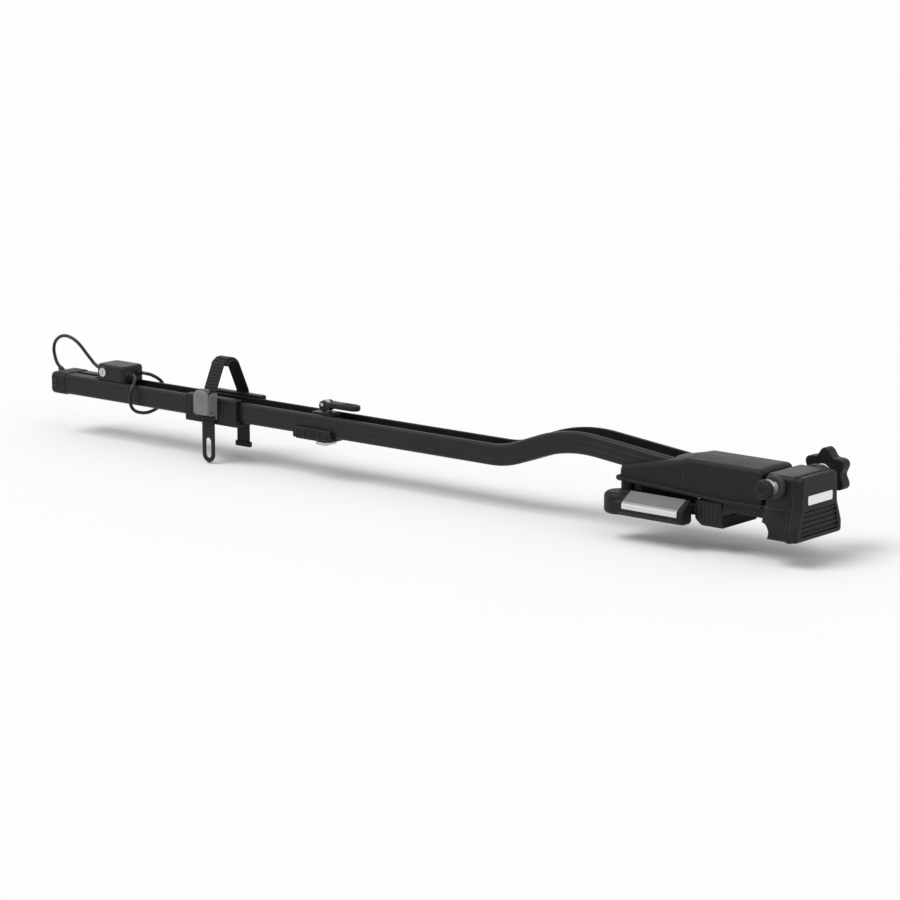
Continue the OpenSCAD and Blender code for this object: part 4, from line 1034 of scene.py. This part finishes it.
class MakeBuckle(bpy.types.Operator):
    """Makes the ratchet buckle: frame, lever and pawl"""

    bl_idname = "carrier.make_buckle"
    bl_label = "Ratchet buckle"

    def execute(self, context):
        self.make_frame()
        self.make_lever()
        self.make_pawl()
        return {"FINISHED"}

    def make_frame(self):
        """A plate on the carriage with two ears for the pins."""
        x, y, z = span_of("buckle_frame")
        body = Maker().slab(x, (y[1] - 1.8, y[1]), (z[0], 36), corner=3.0, edge=0.5, place=along_y)
        foot = z[0] + 7
        ear = rounded([(y[0], foot, 4.9), (y[0], z[1], 9.0), (y[1], z[1], 1.5), (y[1], foot, 1.5)])
        for span in ((x[0] + 0.3, x[0] + 2), (x[1] - 2, x[1] - 0.3)):
            body.prism(ear, *span, along_x, edges=(0.5, 0.5))
        body.settle("buckle_body", "buckle_grey", "buckle_frame")

    def make_lever(self):
        """A barrel on its pin, a web and a crowned thumb panel with grip ridges near its top."""
        x, y, z = span_of("ratchet_lever")
        pin = pivot_of("ratchet_turn")[1:]
        web = (x[0] + 2.3, x[1] - 2.3)
        lever = Maker().barrel(*web, along_x, pin, radius=4, edges=(0.6, 0.6), sides=32)
        lever.slab(web, (-51, -45.7), (z[0], z[0] + 14), corner=1.0, edge=0.6)
        panel = [(x[0], z[0], 5.0), (x[1], z[0], 5.0), (x[1], z[1], 10.0), (x[0], z[1], 10.0)]
        lever.prism(rounded(panel, steps=9), y[0], y[0] + 3.5, along_y, edges=(2.6, 0.7), steps=6)
        for k in range(5):
            at = (y[0] + 0.35, z[1] - 6.0 - 2.6 * k)
            half = 8.5 if k else 6.5
            lever.ridge(at, around(STRAP_X, half), along_x, radius=0.85, edge=0.4)
        lever.settle("ratchet_thumb_lever", "buckle_grey", "ratchet_lever")

    def make_pawl(self):
        """Two barrels on a pin, two arms and a press tab with small ribs."""
        x, _, z = span_of("buckle_pawl")
        pin = pivot_of("pawl_turn")[1:]
        arm = (-45.2, -41.7)
        inner = 5
        outer = 8.5
        pawl = Maker()
        for span in ((x[0], STRAP_X - inner), (STRAP_X + inner, x[1])):
            pawl.barrel(*span, along_x, pin, radius=3.4, edges=(0.5, 0.5), sides=28)
        for span in ((STRAP_X - outer, STRAP_X - inner), (STRAP_X + inner, STRAP_X + outer)):
            pawl.slab(span, arm, (pin[1], pin[1] + 8), corner=0.8, edge=0.4)
        pawl.slab(around(STRAP_X, outer), arm, (45.6, z[1]), corner=1.6, edge=0.7, place=along_x)
        rib = (-45.7, -44.8)
        for level in row(49.4, pitch=2, count=3):
            height = around(level, 0.5)
            pawl.slab(around(STRAP_X, 7), rib, height, corner=0.4, edge=0.3, place=along_x)
        pawl.settle("release_pawl", "buckle_grey", "buckle_pawl")


def make_seat_pad(name, node):
    """A rubber seat pad, with ribs across its underside."""
    x, y, z = span_of(node)
    pitch = 4
    pad = Maker().slab(x, y, (z[0] + 0.7, z[1]), corner=4.0, edge=0.4)
    for rib in row(sum(x) / 2, pitch, int((x[1] - x[0] - 6) / pitch)):
        pad.slab(around(rib, 1.2), (y[0] + 2, y[1] - 2), (z[0], z[0] + 1.2), corner=1.1, edge=0.4)
    pad.settle(name, "rubber_black", node)


class MakeRearClamp(bpy.types.Operator):
    """Makes the rear clamp's saddle, pad, cam block, wear plate and cam lever"""

    bl_idname = "carrier.make_rear_clamp"
    bl_label = "Rear clamp"

    def execute(self, context):
        edges = context.scene.carrier_edges
        self.make_saddle(context.scene.carrier_rail, edges.plastic / MM)
        make_seat_pad("saddle_rubber", "rear_saddle_pad")
        block = Maker().slab(*span_of("rear_cam_block"), corner=2.0, edge=0.9)
        block.settle("cam_seat_block", "moulded_black", "rear_cam_block")
        plate = Maker().slab(*span_of("rear_wear_plate"), corner=2.0, edge=edges.metal / MM)
        plate.settle("cam_wear_plate", "cast_black", "rear_wear_plate")
        self.make_lever()
        return {"FINISHED"}

    def make_saddle(self, rail, edge):
        """A trough under the rail with ribs on both sides."""
        x, y, z = span_of("rear_saddle")
        rail_side = rail.width / MM / 2 + 0.05
        side = [(y[1], z[0], 2.0), (y[1], z[1], 3.0), (rail_side, z[1], 1.4), (rail_side, z[0] + 4, 0.0)]
        saddle = Maker().prism(rounded(mirrored(side)), *x, along_x, edges=(edge, edge))
        ribs = row(sum(x) / 2, pitch=14, count=5)
        depth = (y[1] - 0.5, y[1] + 1.0)
        saddle.side_ribs(ribs, depth, (z[0] + 1.5, z[1] - 2), half=1.2, corner=1.0, edge=0.5)
        saddle.settle("bar_saddle", "moulded_black", "rear_saddle")

    def make_lever(self):
        """Two round cams beside the bolt, and a flat grip with ridges near its tip."""
        x, y, _ = span_of("rear_cam_lever")
        pin_x, _, pin_z = middle_of("rear_cam_pin")
        throw = 3
        lead = math.radians(35)
        cam = (pin_x + throw * math.sin(lead), pin_z - throw * math.cos(lead))
        grip = around(pin_z, 4)
        inner = 4.3
        lever = Maker()
        for near, far in ((y[0] + 0.3, -inner), (inner, y[1] - 0.3)):
            lever.barrel(near, far, along_y, cam, radius=8, edges=(0.8, 0.8), sides=48)
            neck = (near + 0.2, far - 0.2)
            lever.slab((pin_x + 1, pin_x + 16), neck, grip, corner=2.0, edge=0.8, place=along_y)
        foot = pin_x + 10
        outline = [(foot, y[0], 2.6), (x[1], y[0], 8.7), (x[1], y[1], 8.7), (foot, y[1], 2.6)]
        lever.prism(rounded(outline, steps=10), *grip, along_z, edges=(2.4, 2.4), steps=4)
        for k in range(5):
            at = (x[1] - 9 - 4 * k, grip[1] - 0.2)
            lever.ridge(at, (y[0] + 3, y[1] - 3), along_y, radius=0.9, edge=0.4)
        lever.settle("bar_cam_lever", "moulded_black", "rear_cam_lever")


# Round bites of the claw and the jaw: places of their centres, radius, and thickness of the rubber
BITE_X = 30
BITE_Z = -13
BITE_RADIUS = 12
BITE_RUBBER = 2


def bite_cutter(side):
    """A round cutter for a bite; side is 1 for the claw and -1 for the jaw."""
    outline = circle_outline((side * BITE_X, BITE_Z), BITE_RADIUS, sides=64)
    return Maker().prism(outline, -60, 60, along_y)


def make_bite_rubber(name, node, side, start, end):
    """The rubber in a bite, between two angles in degrees."""
    middle = (side * BITE_X, BITE_Z)
    outline = sector_outline(middle, BITE_RADIUS - BITE_RUBBER, BITE_RADIUS, start, end)
    rubber = Maker().prism(outline, *span_of(node)[1], along_y, edges=(0.5, 0.5))
    rubber.settle(name, "rubber_black", node)


# Fork head: heights of its foot, of the seat that it stands on and of its top
HEAD_FOOT = span_of("head_front_cover")[2][0]
SEAT_TOP, HEAD_TOP = span_of("head_body")[2]


def head_outline(low, high):
    """The fork head's outline between two heights, straight where the seat's top cuts it."""
    foot = [(52, HEAD_FOOT, 5.0), (52, HEAD_FOOT + 16, 14.0)]
    shoulder = [(42, 20, 18.0), (39.8, HEAD_TOP, 7.0)]
    waist = [(43.15, SEAT_TOP, 0.0)]
    side = (foot if low < SEAT_TOP else waist) + (shoulder if high > SEAT_TOP else waist)
    return rounded(mirrored(side))


# Deck of the front base: level over the seat, and rising behind it
SEAT_REAR = -38
DECK_UNDER = 12
DECK_THICK = 5
DECK_SLOPE = 8 / 174


def deck_under(x):
    """Height of the deck's underside."""
    return DECK_UNDER + DECK_SLOPE * max(SEAT_REAR - x, 0)


def on_deck(u, v, a):
    """A place over the deck's underside."""
    return (u, v, a + deck_under(u))


class MakeFrontBase(bpy.types.Operator):
    """Makes the base with its deck, seat and fixed claw, and the rubber on it"""

    bl_idname = "carrier.make_front_base"
    bl_label = "Front base"

    # Ribs under the deck: extents along x and y, and depth
    long_ribs = (
        ((-205, -188), (-5.0, -2.5), -19.0),
        ((-190, -97), (-10.5, -8.0), -19.0),
        ((-205, -97), (8.0, 10.5), -14.0),
        ((-205, -97), (20.0, 22.5), -14.0),
    )
    cross_ribs = (
        ((-190, -187.5), (-9.0, 21.0), -12.0),
        ((-160, -157.5), (-9.0, 21.0), -12.0),
    )

    def execute(self, context):
        edge = context.scene.carrier_edges.plastic / MM
        base = Maker()
        self.add_deck(base)
        base.slab((SEAT_REAR, 31), (-38, 38), (2, 16.9), corner=2.0, edge=edge, place=along_y)
        base.slab((-200, -97), (-20, 20), (20, 30), corner=2.0, edge=0.5, place=along_y)
        base.join(self.claw(edge))
        base.settle("front_foot", "moulded_black", "front_base")
        make_seat_pad("bar_seat_rubber", "front_bar_pad")
        make_bite_rubber("claw_rubber", "front_claw_pad", side=1, start=-46, end=60)
        return {"FINISHED"}

    def add_deck(self, base):
        """The deck in two stretches, and the stiffening ribs under it."""
        rear_x = span_of("front_base")[0][0]
        front_x = 24
        half = 41.0
        overlap = 0.1
        meet = SEAT_REAR + overlap
        rear = [(rear_x, -half, 12.0), (meet, -half, 0.0), (meet, half, 0.0), (rear_x, half, 12.0)]
        base.prism(rounded(rear, steps=9), 0, DECK_THICK, on_deck, edges=(1.6, 1.6))
        meet = SEAT_REAR - overlap
        front = [(meet, -half, 0.0), (front_x, -half, 4.0), (front_x, half, 4.0), (meet, half, 0.0)]
        base.prism(rounded(front), DECK_UNDER, DECK_UNDER + DECK_THICK, along_z, edges=(1.6, 1.6))
        for ribs, corner in ((self.long_ribs, 1.0), (self.cross_ribs, 0.8)):
            for x, y, deep in ribs:
                base.prism(box_outline(x, y, corner), deep, 1.0, on_deck, edges=(0.6, 0.0))

    def claw(self, edge):
        """The fixed claw under the fork head, with its bite and two screw holes from below."""
        x = span_of("head_body")[0]
        holes = []
        for y in (-24, 24):
            hole = circle_outline((60, y), radius=8)
            holes.append(Maker().prism(hole, HEAD_FOOT - 3, HEAD_FOOT + 10, along_z))
        block = Maker().prism(head_outline(HEAD_FOOT, SEAT_TOP), *x, along_x, edges=(edge, 0.4))
        return block.cut(bite_cutter(1), *holes)


def corner_drop(distance, radius):
    """How far a round corner lies inside its square, at a distance from its end."""
    if distance >= radius:
        return 0.0
    return radius - math.sqrt(max(radius * radius - (radius - distance) ** 2, 0.0))


def hood_ring(x, wide, low, top, corner, crown):
    """A cross-section of a housing: straight sides, rounded shoulders and a slightly arched roof."""
    shoulder = top - crown
    corner = min(corner, shoulder - low - 0.2)
    flat = wide - corner
    base = shoulder - corner
    half = [(wide, low), (wide, low + 0.3 * (base - low))]
    half += [(flat + corner * c, base + corner * s) for c, s in quarter_turn(8)]
    half += [(flat * share, shoulder + crown * (1 - share**2)) for share in (0.8, 0.6, 0.4, 0.2)]
    ring = half + [(0.0, top)] + [(-y, z) for y, z in reversed(half)]
    return [(x, y, z) for y, z in ring]


def hood(x, wide, stations, corner, crown, roofs, side_bends, roof_bends):
    """A housing on the deck, with its roof's height and its rounding towards sides and roof at both ends."""
    rings = []
    for at in stations:
        from_ends = (at - x[0], x[1] - at)
        side = wide - sum(corner_drop(far, bend) for far, bend in zip(from_ends, side_bends))
        roof = roofs[0] + (roofs[1] - roofs[0]) * from_ends[0] / (x[1] - x[0])
        roof -= sum(corner_drop(far, bend) for far, bend in zip(from_ends, roof_bends))
        rings.append(hood_ring(at, side, deck_under(at) + DECK_THICK, roof, corner, crown))
    return Maker().loft(rings)


class MakeHousings(bpy.types.Operator):
    """Makes the two housings over the rail's front end"""

    bl_idname = "carrier.make_housings"
    bl_label = "Housings"

    def execute(self, context):
        edges = context.scene.carrier_edges
        corner = edges.hood / MM
        crown = edges.crown / MM
        x, y, z = span_of("housing_rear")
        shares = (0, 0.004, 0.012, 0.03, 0.06, 0.1, 0.2, 0.4, 0.6, 0.8, 0.985, 0.993, 1.0)
        stations = [x[0] + (x[1] - x[0]) * share for share in shares]
        rear = hood(
            x, y[1], stations, corner, crown,
            roofs=(42.0, z[1]), side_bends=(11, 0.8), roof_bends=(5, 0.8),
        )
        rear.cut(self.rail_passage(context.scene.carrier_rail))
        rear.settle("rear_hood", "moulded_black", "housing_rear")

        x, y, z = span_of("housing_front")
        stations = (x[0], x[0] + 0.2, x[0] + 0.8, -70, SEAT_REAR, -15, 5, 10, 14, 17, 19, 19.7, x[1])
        front = hood(
            x, y[1], stations, 0.7 * corner, 0.5 * crown,
            roofs=(z[1], z[1]), side_bends=(0.8, 3), roof_bends=(0.8, 8),
        )
        front.settle("front_hood", "moulded_black", "housing_front")
        return {"FINISHED"}

    def rail_passage(self, rail):
        """The rail's front end, a little larger, which is cut out of the rear housing."""
        x, z, slope = rail_stations(rail)[-1]
        ends = []
        for shift in (-170, 20):
            station = (x + shift, z - shift * math.tan(rail.dip), slope)
            ends.append([rail_point(station, p.x, p.y) for p in rail_outline(rail, grow=0.5)])
        return Maker().loft(ends)


# Clamp lever: inner and outer sides of its arm, and heights of its top and underside
LEVER_INNER = -42.0
LEVER_OUTER = span_of("clamp_lever")[1][0]
LEVER_TOP = 10.0
LEVER_LOW = span_of("clamp_lever")[2][0]


class MakeBarLever(bpy.types.Operator):
    """Makes the lever that closes the front clamp, and its bright inlay"""

    bl_idname = "carrier.make_bar_lever"
    bl_label = "Clamp lever"

    def execute(self, context):
        lever = Maker()
        self.add_arm(lever)
        self.add_round_end(lever)
        self.add_hub(lever)
        lever.settle("bar_clamp_lever", "moulded_black", "clamp_lever")
        self.make_inlay()
        return {"FINISHED"}

    def add_arm(self, lever):
        """A slanted grip from the pin to the front, rounded at its front end."""
        inner, outer, top, low = LEVER_INNER, LEVER_OUTER, LEVER_TOP, LEVER_LOW
        section = [
            (inner, low + 2, 1.5), (inner, top, 1.5), (inner - 4, top, 5.0), (outer + 2, top - 11, 4.0),
            (outer, top - 14, 4.0), (outer, low + 7, 6.0), (outer + 6, low, 6.0), (inner - 4, low, 3.0),
        ]
        section = rounded(section, steps=5)
        front = span_of("clamp_lever")[0][1]
        middle = (top + low) / 2
        rings = []
        for x in (middle_of("lever_pin")[0], -160, -120, -100, -92, -89, -87, -85.5, -84.5, front):
            reach = 1 - corner_drop(front - x, 9) / (inner - outer)
            flat = 1 - corner_drop(front - x, 2.5) * 0.06
            ring = [(inner + (p.x - inner) * reach, middle + (p.y - middle) * flat) for p in section]
            rings.append([(x, y, z) for y, z in ring])
        lever.loft(rings)

    def add_round_end(self, lever):
        """The round end of the arm behind the pin."""
        arc = quarter_turn(5)
        profile = [(LEVER_LOW + 0.3 + 5 * (1 - c), 16 + 5 * s) for c, s in arc]
        profile += [(LEVER_TOP - 2 - 7 * (1 - c), 14 + 7 * s) for c, s in reversed(arc)]
        lever.turned(profile, along_z, (middle_of("lever_pin")[0], LEVER_OUTER + 21))

    def add_hub(self, lever):
        """The hub on the pin, and the cam beside it."""
        x, y, _ = middle_of("lever_pin")
        high = span_of("clamp_lever")[2][1]
        throw = 7
        lead = math.radians(30)
        lever.barrel(LEVER_LOW + 0.6, high, along_z, (x, y), radius=9, edges=(0.6, 0.4), sides=40)
        cam = (x + throw * math.cos(lead), y - throw * math.sin(lead))
        lever.barrel(-12, 6, along_z, cam, radius=14, edges=(0.8, 0.8), sides=56)

    def make_inlay(self):
        """A bent bright plate over the arm's slope and down its outer side."""
        inner, outer, top = LEVER_INNER, LEVER_OUTER, LEVER_TOP
        panel = [
            (inner - 3, top - 0.2, 0.0), (inner - 4, top + 0.5, 0.0), (outer + 1.7, top - 10.6, 2.0),
            (outer - 0.5, top - 14, 2.0), (outer - 0.5, top - 20, 0.0), (outer + 1.5, top - 20, 0.0),
            (outer + 1.5, top - 14, 0.0), (outer + 3.0, top - 11.5, 0.0), (inner - 4, top - 1.5, 0.0),
        ]
        inlay = Maker().prism(rounded(panel), *span_of("lever_inlay")[0], along_x, edges=(0.5, 0.5))
        inlay.settle("lever_bright_panel", "brushed_aluminium", "lever_inlay")


class MakeJaw(bpy.types.Operator):
    """Makes the sliding jaw and its rubber"""

    bl_idname = "carrier.make_jaw"
    bl_label = "Clamp jaw"

    def execute(self, context):
        edge = 2 * context.scene.carrier_edges.plastic / MM
        x, _, z = span_of("clamp_jaw")
        rear = -82
        front = -40
        outline = [
            (rear + 10, z[0], 5.0), (front + 4, z[0], 2.6), (front, BITE_Z, 0.0),
            (front, z[1], 2.6), (rear, z[1], 4.0), (rear, BITE_Z - 1, 5.0),
        ]
        jaw = Maker().prism(rounded(outline), -38, 38, along_y, edges=(edge, edge), steps=4)
        jaw.cut(bite_cutter(-1))
        jaw.slab((x[0], rear + 1), (-37, -19), (-10, 4), corner=1.5, edge=0.8, place=along_y)
        ribs = row(-61.3, pitch=6.6, count=5)
        jaw.side_ribs(ribs, (37.0, 39.0), (-14, 6), half=1.6, corner=1.4, edge=0.7)
        jaw.settle("bar_jaw_block", "cast_black", "clamp_jaw")
        make_bite_rubber("jaw_rubber", "clamp_jaw_pad", side=-1, start=150, end=226)
        return {"FINISHED"}


class MakeHead(bpy.types.Operator):
    """Makes the fork head, its ribbed front cover and the plain badge"""

    bl_idname = "carrier.make_head"
    bl_label = "Fork head"

    def execute(self, context):
        edges = context.scene.carrier_edges
        edge = edges.plastic / MM
        x = span_of("head_body")[0]
        head = Maker().prism(head_outline(SEAT_TOP, HEAD_TOP), *x, along_x, edges=(edge, 0.4))
        head.settle("fork_head_block", "cast_black", "head_body")
        self.make_cover(edges)
        badge = Maker().slab(*span_of("badge_plate"), corner=2.2, edge=0.5, place=along_x)
        badge.settle("plain_badge", "badge_white", "badge_plate")
        return {"FINISHED"}

    def make_cover(self, edges):
        """The front cover, with a grille sunk into it and a curved rim round the head."""
        rear, front = span_of("head_front_cover")[0]
        outline = head_outline(HEAD_FOOT, HEAD_TOP)
        recess = rounded(mirrored([(42, -16, 3.0), (42, -7, 6.0), (36, 17, 3.0)]))
        cover = Maker().prism(outline, rear, front, along_x, edges=(0.6, edges.cover / MM), steps=6)
        cover.cut(Maker().prism(recess, front - 2.6, front + 6, along_x))
        for k in range(edges.grille_ribs):
            level = -12.5 + 26 * k / (edges.grille_ribs - 1)
            half = 41.5 - 6 * max(level + 7, 0) / 24
            span = (front - 3.2, front - 0.4)
            cover.slab(span, around(0, half), around(level, 1.5), corner=1.3, edge=0.6, place=along_y)
        outside = inset(outline, -1.3)
        rim = Maker().prism(outside, rear - 5, rear + 1.5, self.on_rim, edges=(1.2, 1.2), steps=4)
        head = Maker().prism(inset(outline, 0.6), *around(rear, 12), self.on_rim)
        cover.join(rim.cut(head))
        cover.settle("ribbed_front_cover", "moulded_black", "head_front_cover")

    def on_rim(self, u, v, a):
        """A place on the curved rim, which bows to the rear at half height."""
        middle = (HEAD_FOOT + HEAD_TOP) / 2
        reach = (HEAD_TOP - HEAD_FOOT) / 2
        bow = 6
        return (a - bow * (1 - ((v - middle) / reach) ** 2), u, v)


class MakeAxle(bpy.types.Operator):
    """Makes the adapters, cup and end cap on the fork axle"""

    bl_idname = "carrier.make_axle"
    bl_label = "Fork axle"

    def execute(self, context):
        for side, way in (("near", 1), ("far", -1)):
            self.make_adapter(side, way)
        low, high = span_of("thrust_cup")[1]
        deep = high - low
        profile = [(0, 5.1), (0, 11.6), (0.8, 12.9), (deep - 0.8, 12.9), (deep, 11.9), (deep, 5.1)]
        cup = Maker().turned(profile, along_y, AXLE, start=low, ring=True)
        cup.settle("clamp_cup", "steel", "thrust_cup")
        low, high = span_of("axle_end_cap")[1]
        deep = high - low
        profile = [(deep, 11.9), (deep - 0.8, 12.8), (4, 12.8)]
        profile += [(4 - 4 * s, 8.8 + 4 * c) for c, s in quarter_turn(5)[1:]]
        profile += [(0, 6.6), (1.2, 5.8), (1.2, 2.0)]
        cap = Maker().turned(profile, along_y, AXLE, sides=96, start=low, flutes=(16, 0.5))
        cap.settle("axle_fluted_cap", "moulded_black", "axle_end_cap")
        return {"FINISHED"}

    def make_adapter(self, side, way):
        """A stepped ring beside the head, grooved round its middle."""
        node = "dropout_adapter_" + side
        span = span_of(node)[1]
        deep = span[1] - span[0]
        profile = [
            (0, 9.3), (0, 13.4), (0.8, 14.6), (1.6, 15), (3.2, 15), (3.6, 14.3), (4.4, 14.3), (4.8, 15),
            (deep - 1.2, 15), (deep, 14), (deep, 9.3),
        ]
        adapter = Maker().turned(profile, along_y, AXLE, start=max(span, key=abs), way=way, ring=True)
        adapter.settle("dropout_washer_" + side, "dark_grey", node)


class MakeKnob(bpy.types.Operator):
    """Makes the star knob and its cap"""

    bl_idname = "carrier.make_knob"
    bl_label = "Star knob"

    def execute(self, context):
        edges = context.scene.carrier_edges
        _, y, z = span_of("axle_knob")
        wave = 4
        mean = (z[1] - z[0]) / 2 - wave
        sides = 144
        outline = []
        for k in range(sides):
            turn = math.tau * k / sides
            outline.append(on_circle(AXLE, mean - wave * math.cos(edges.knob_lobes * turn), turn))
        knob = Maker().prism(outline, *y, along_y, edges=(1.6, edges.knob / MM), steps=6)
        rim = [(-1, 17.3), (0.2, 17.4), (0.5, 17.9), (0.2, 18.6), (-1, 19.0)]
        knob.turned(rim, along_y, AXLE, start=y[1], ring=True)
        knob.settle("star_knob", "moulded_black", "axle_knob")
        self.make_dome()
        return {"FINISHED"}

    def make_dome(self):
        """A low dome with a small flat in its middle."""
        low, high = span_of("knob_cap")[1]
        rise = 1.4
        wide = 16.9
        profile = [(low, 16.5), (high - rise, wide)]
        for k in range(1, 8):
            up = rise * math.sin(math.pi / 2 * k / 7)
            profile.append((high - rise + up, wide * math.cos(math.pi / 2 * k / 7.6)))
        Maker().turned(profile, along_y, AXLE).settle("knob_dome", "dark_grey", "knob_cap")


class FinishHardware(bpy.types.Operator):
    """Gives every solid that still shows its finish"""

    bl_idname = "carrier.finish_hardware"
    bl_label = "Bolts, pins and springs"

    def execute(self, context):
        for entry in frame["record"]["subparts"]:
            mesh = frame["nodes"][entry["node"]].data
            mesh.materials.clear()
            mesh.materials.append(finish_of(entry["material_slot"]))
        return {"FINISHED"}


STEPS = (
    SetStage, LayCables, MakeRail, MakeRailEnd, MakeLock, MakeCarriage, MakeStrap, MakeBuckle, MakeRearClamp,
    MakeFrontBase, MakeHousings, MakeBarLever, MakeJaw, MakeHead, MakeAxle, MakeKnob, FinishHardware,
)

SETTINGS = {
    "carrier_rail": RailSizes,
    "carrier_edges": EdgeSizes,
    "carrier_colours": FinishColours,
    "carrier_stage": StageSettings,
}


class CARRIER_PT_looks(bpy.types.Panel):
    """Lists the steps and settings of the carrier's looks"""

    bl_idname = "CARRIER_PT_looks"
    bl_label = "Bike carrier"
    bl_space_type = "VIEW_3D"
    bl_region_type = "UI"
    bl_category = "Carrier"

    def draw(self, context):
        for step in STEPS:
            self.layout.operator(step.bl_idname)
        for setting, group in SETTINGS.items():
            column = self.layout.column()
            for name in group.__annotations__:
                column.prop(getattr(context.scene, setting), name)


CLASSES = (*SETTINGS.values(), *STEPS, CARRIER_PT_looks)


def register():
    for entry in CLASSES:
        bpy.utils.register_class(entry)
    for name, group in SETTINGS.items():
        setattr(bpy.types.Scene, name, PointerProperty(type=group))


def unregister():
    for name in SETTINGS:
        delattr(bpy.types.Scene, name)
    for entry in reversed(CLASSES):
        bpy.utils.unregister_class(entry)


def main():
    register()
    for step in STEPS:
        area, name = step.bl_idname.split(".")
        getattr(getattr(bpy.ops, area), name)()


if __name__ == "__main__":
    main()
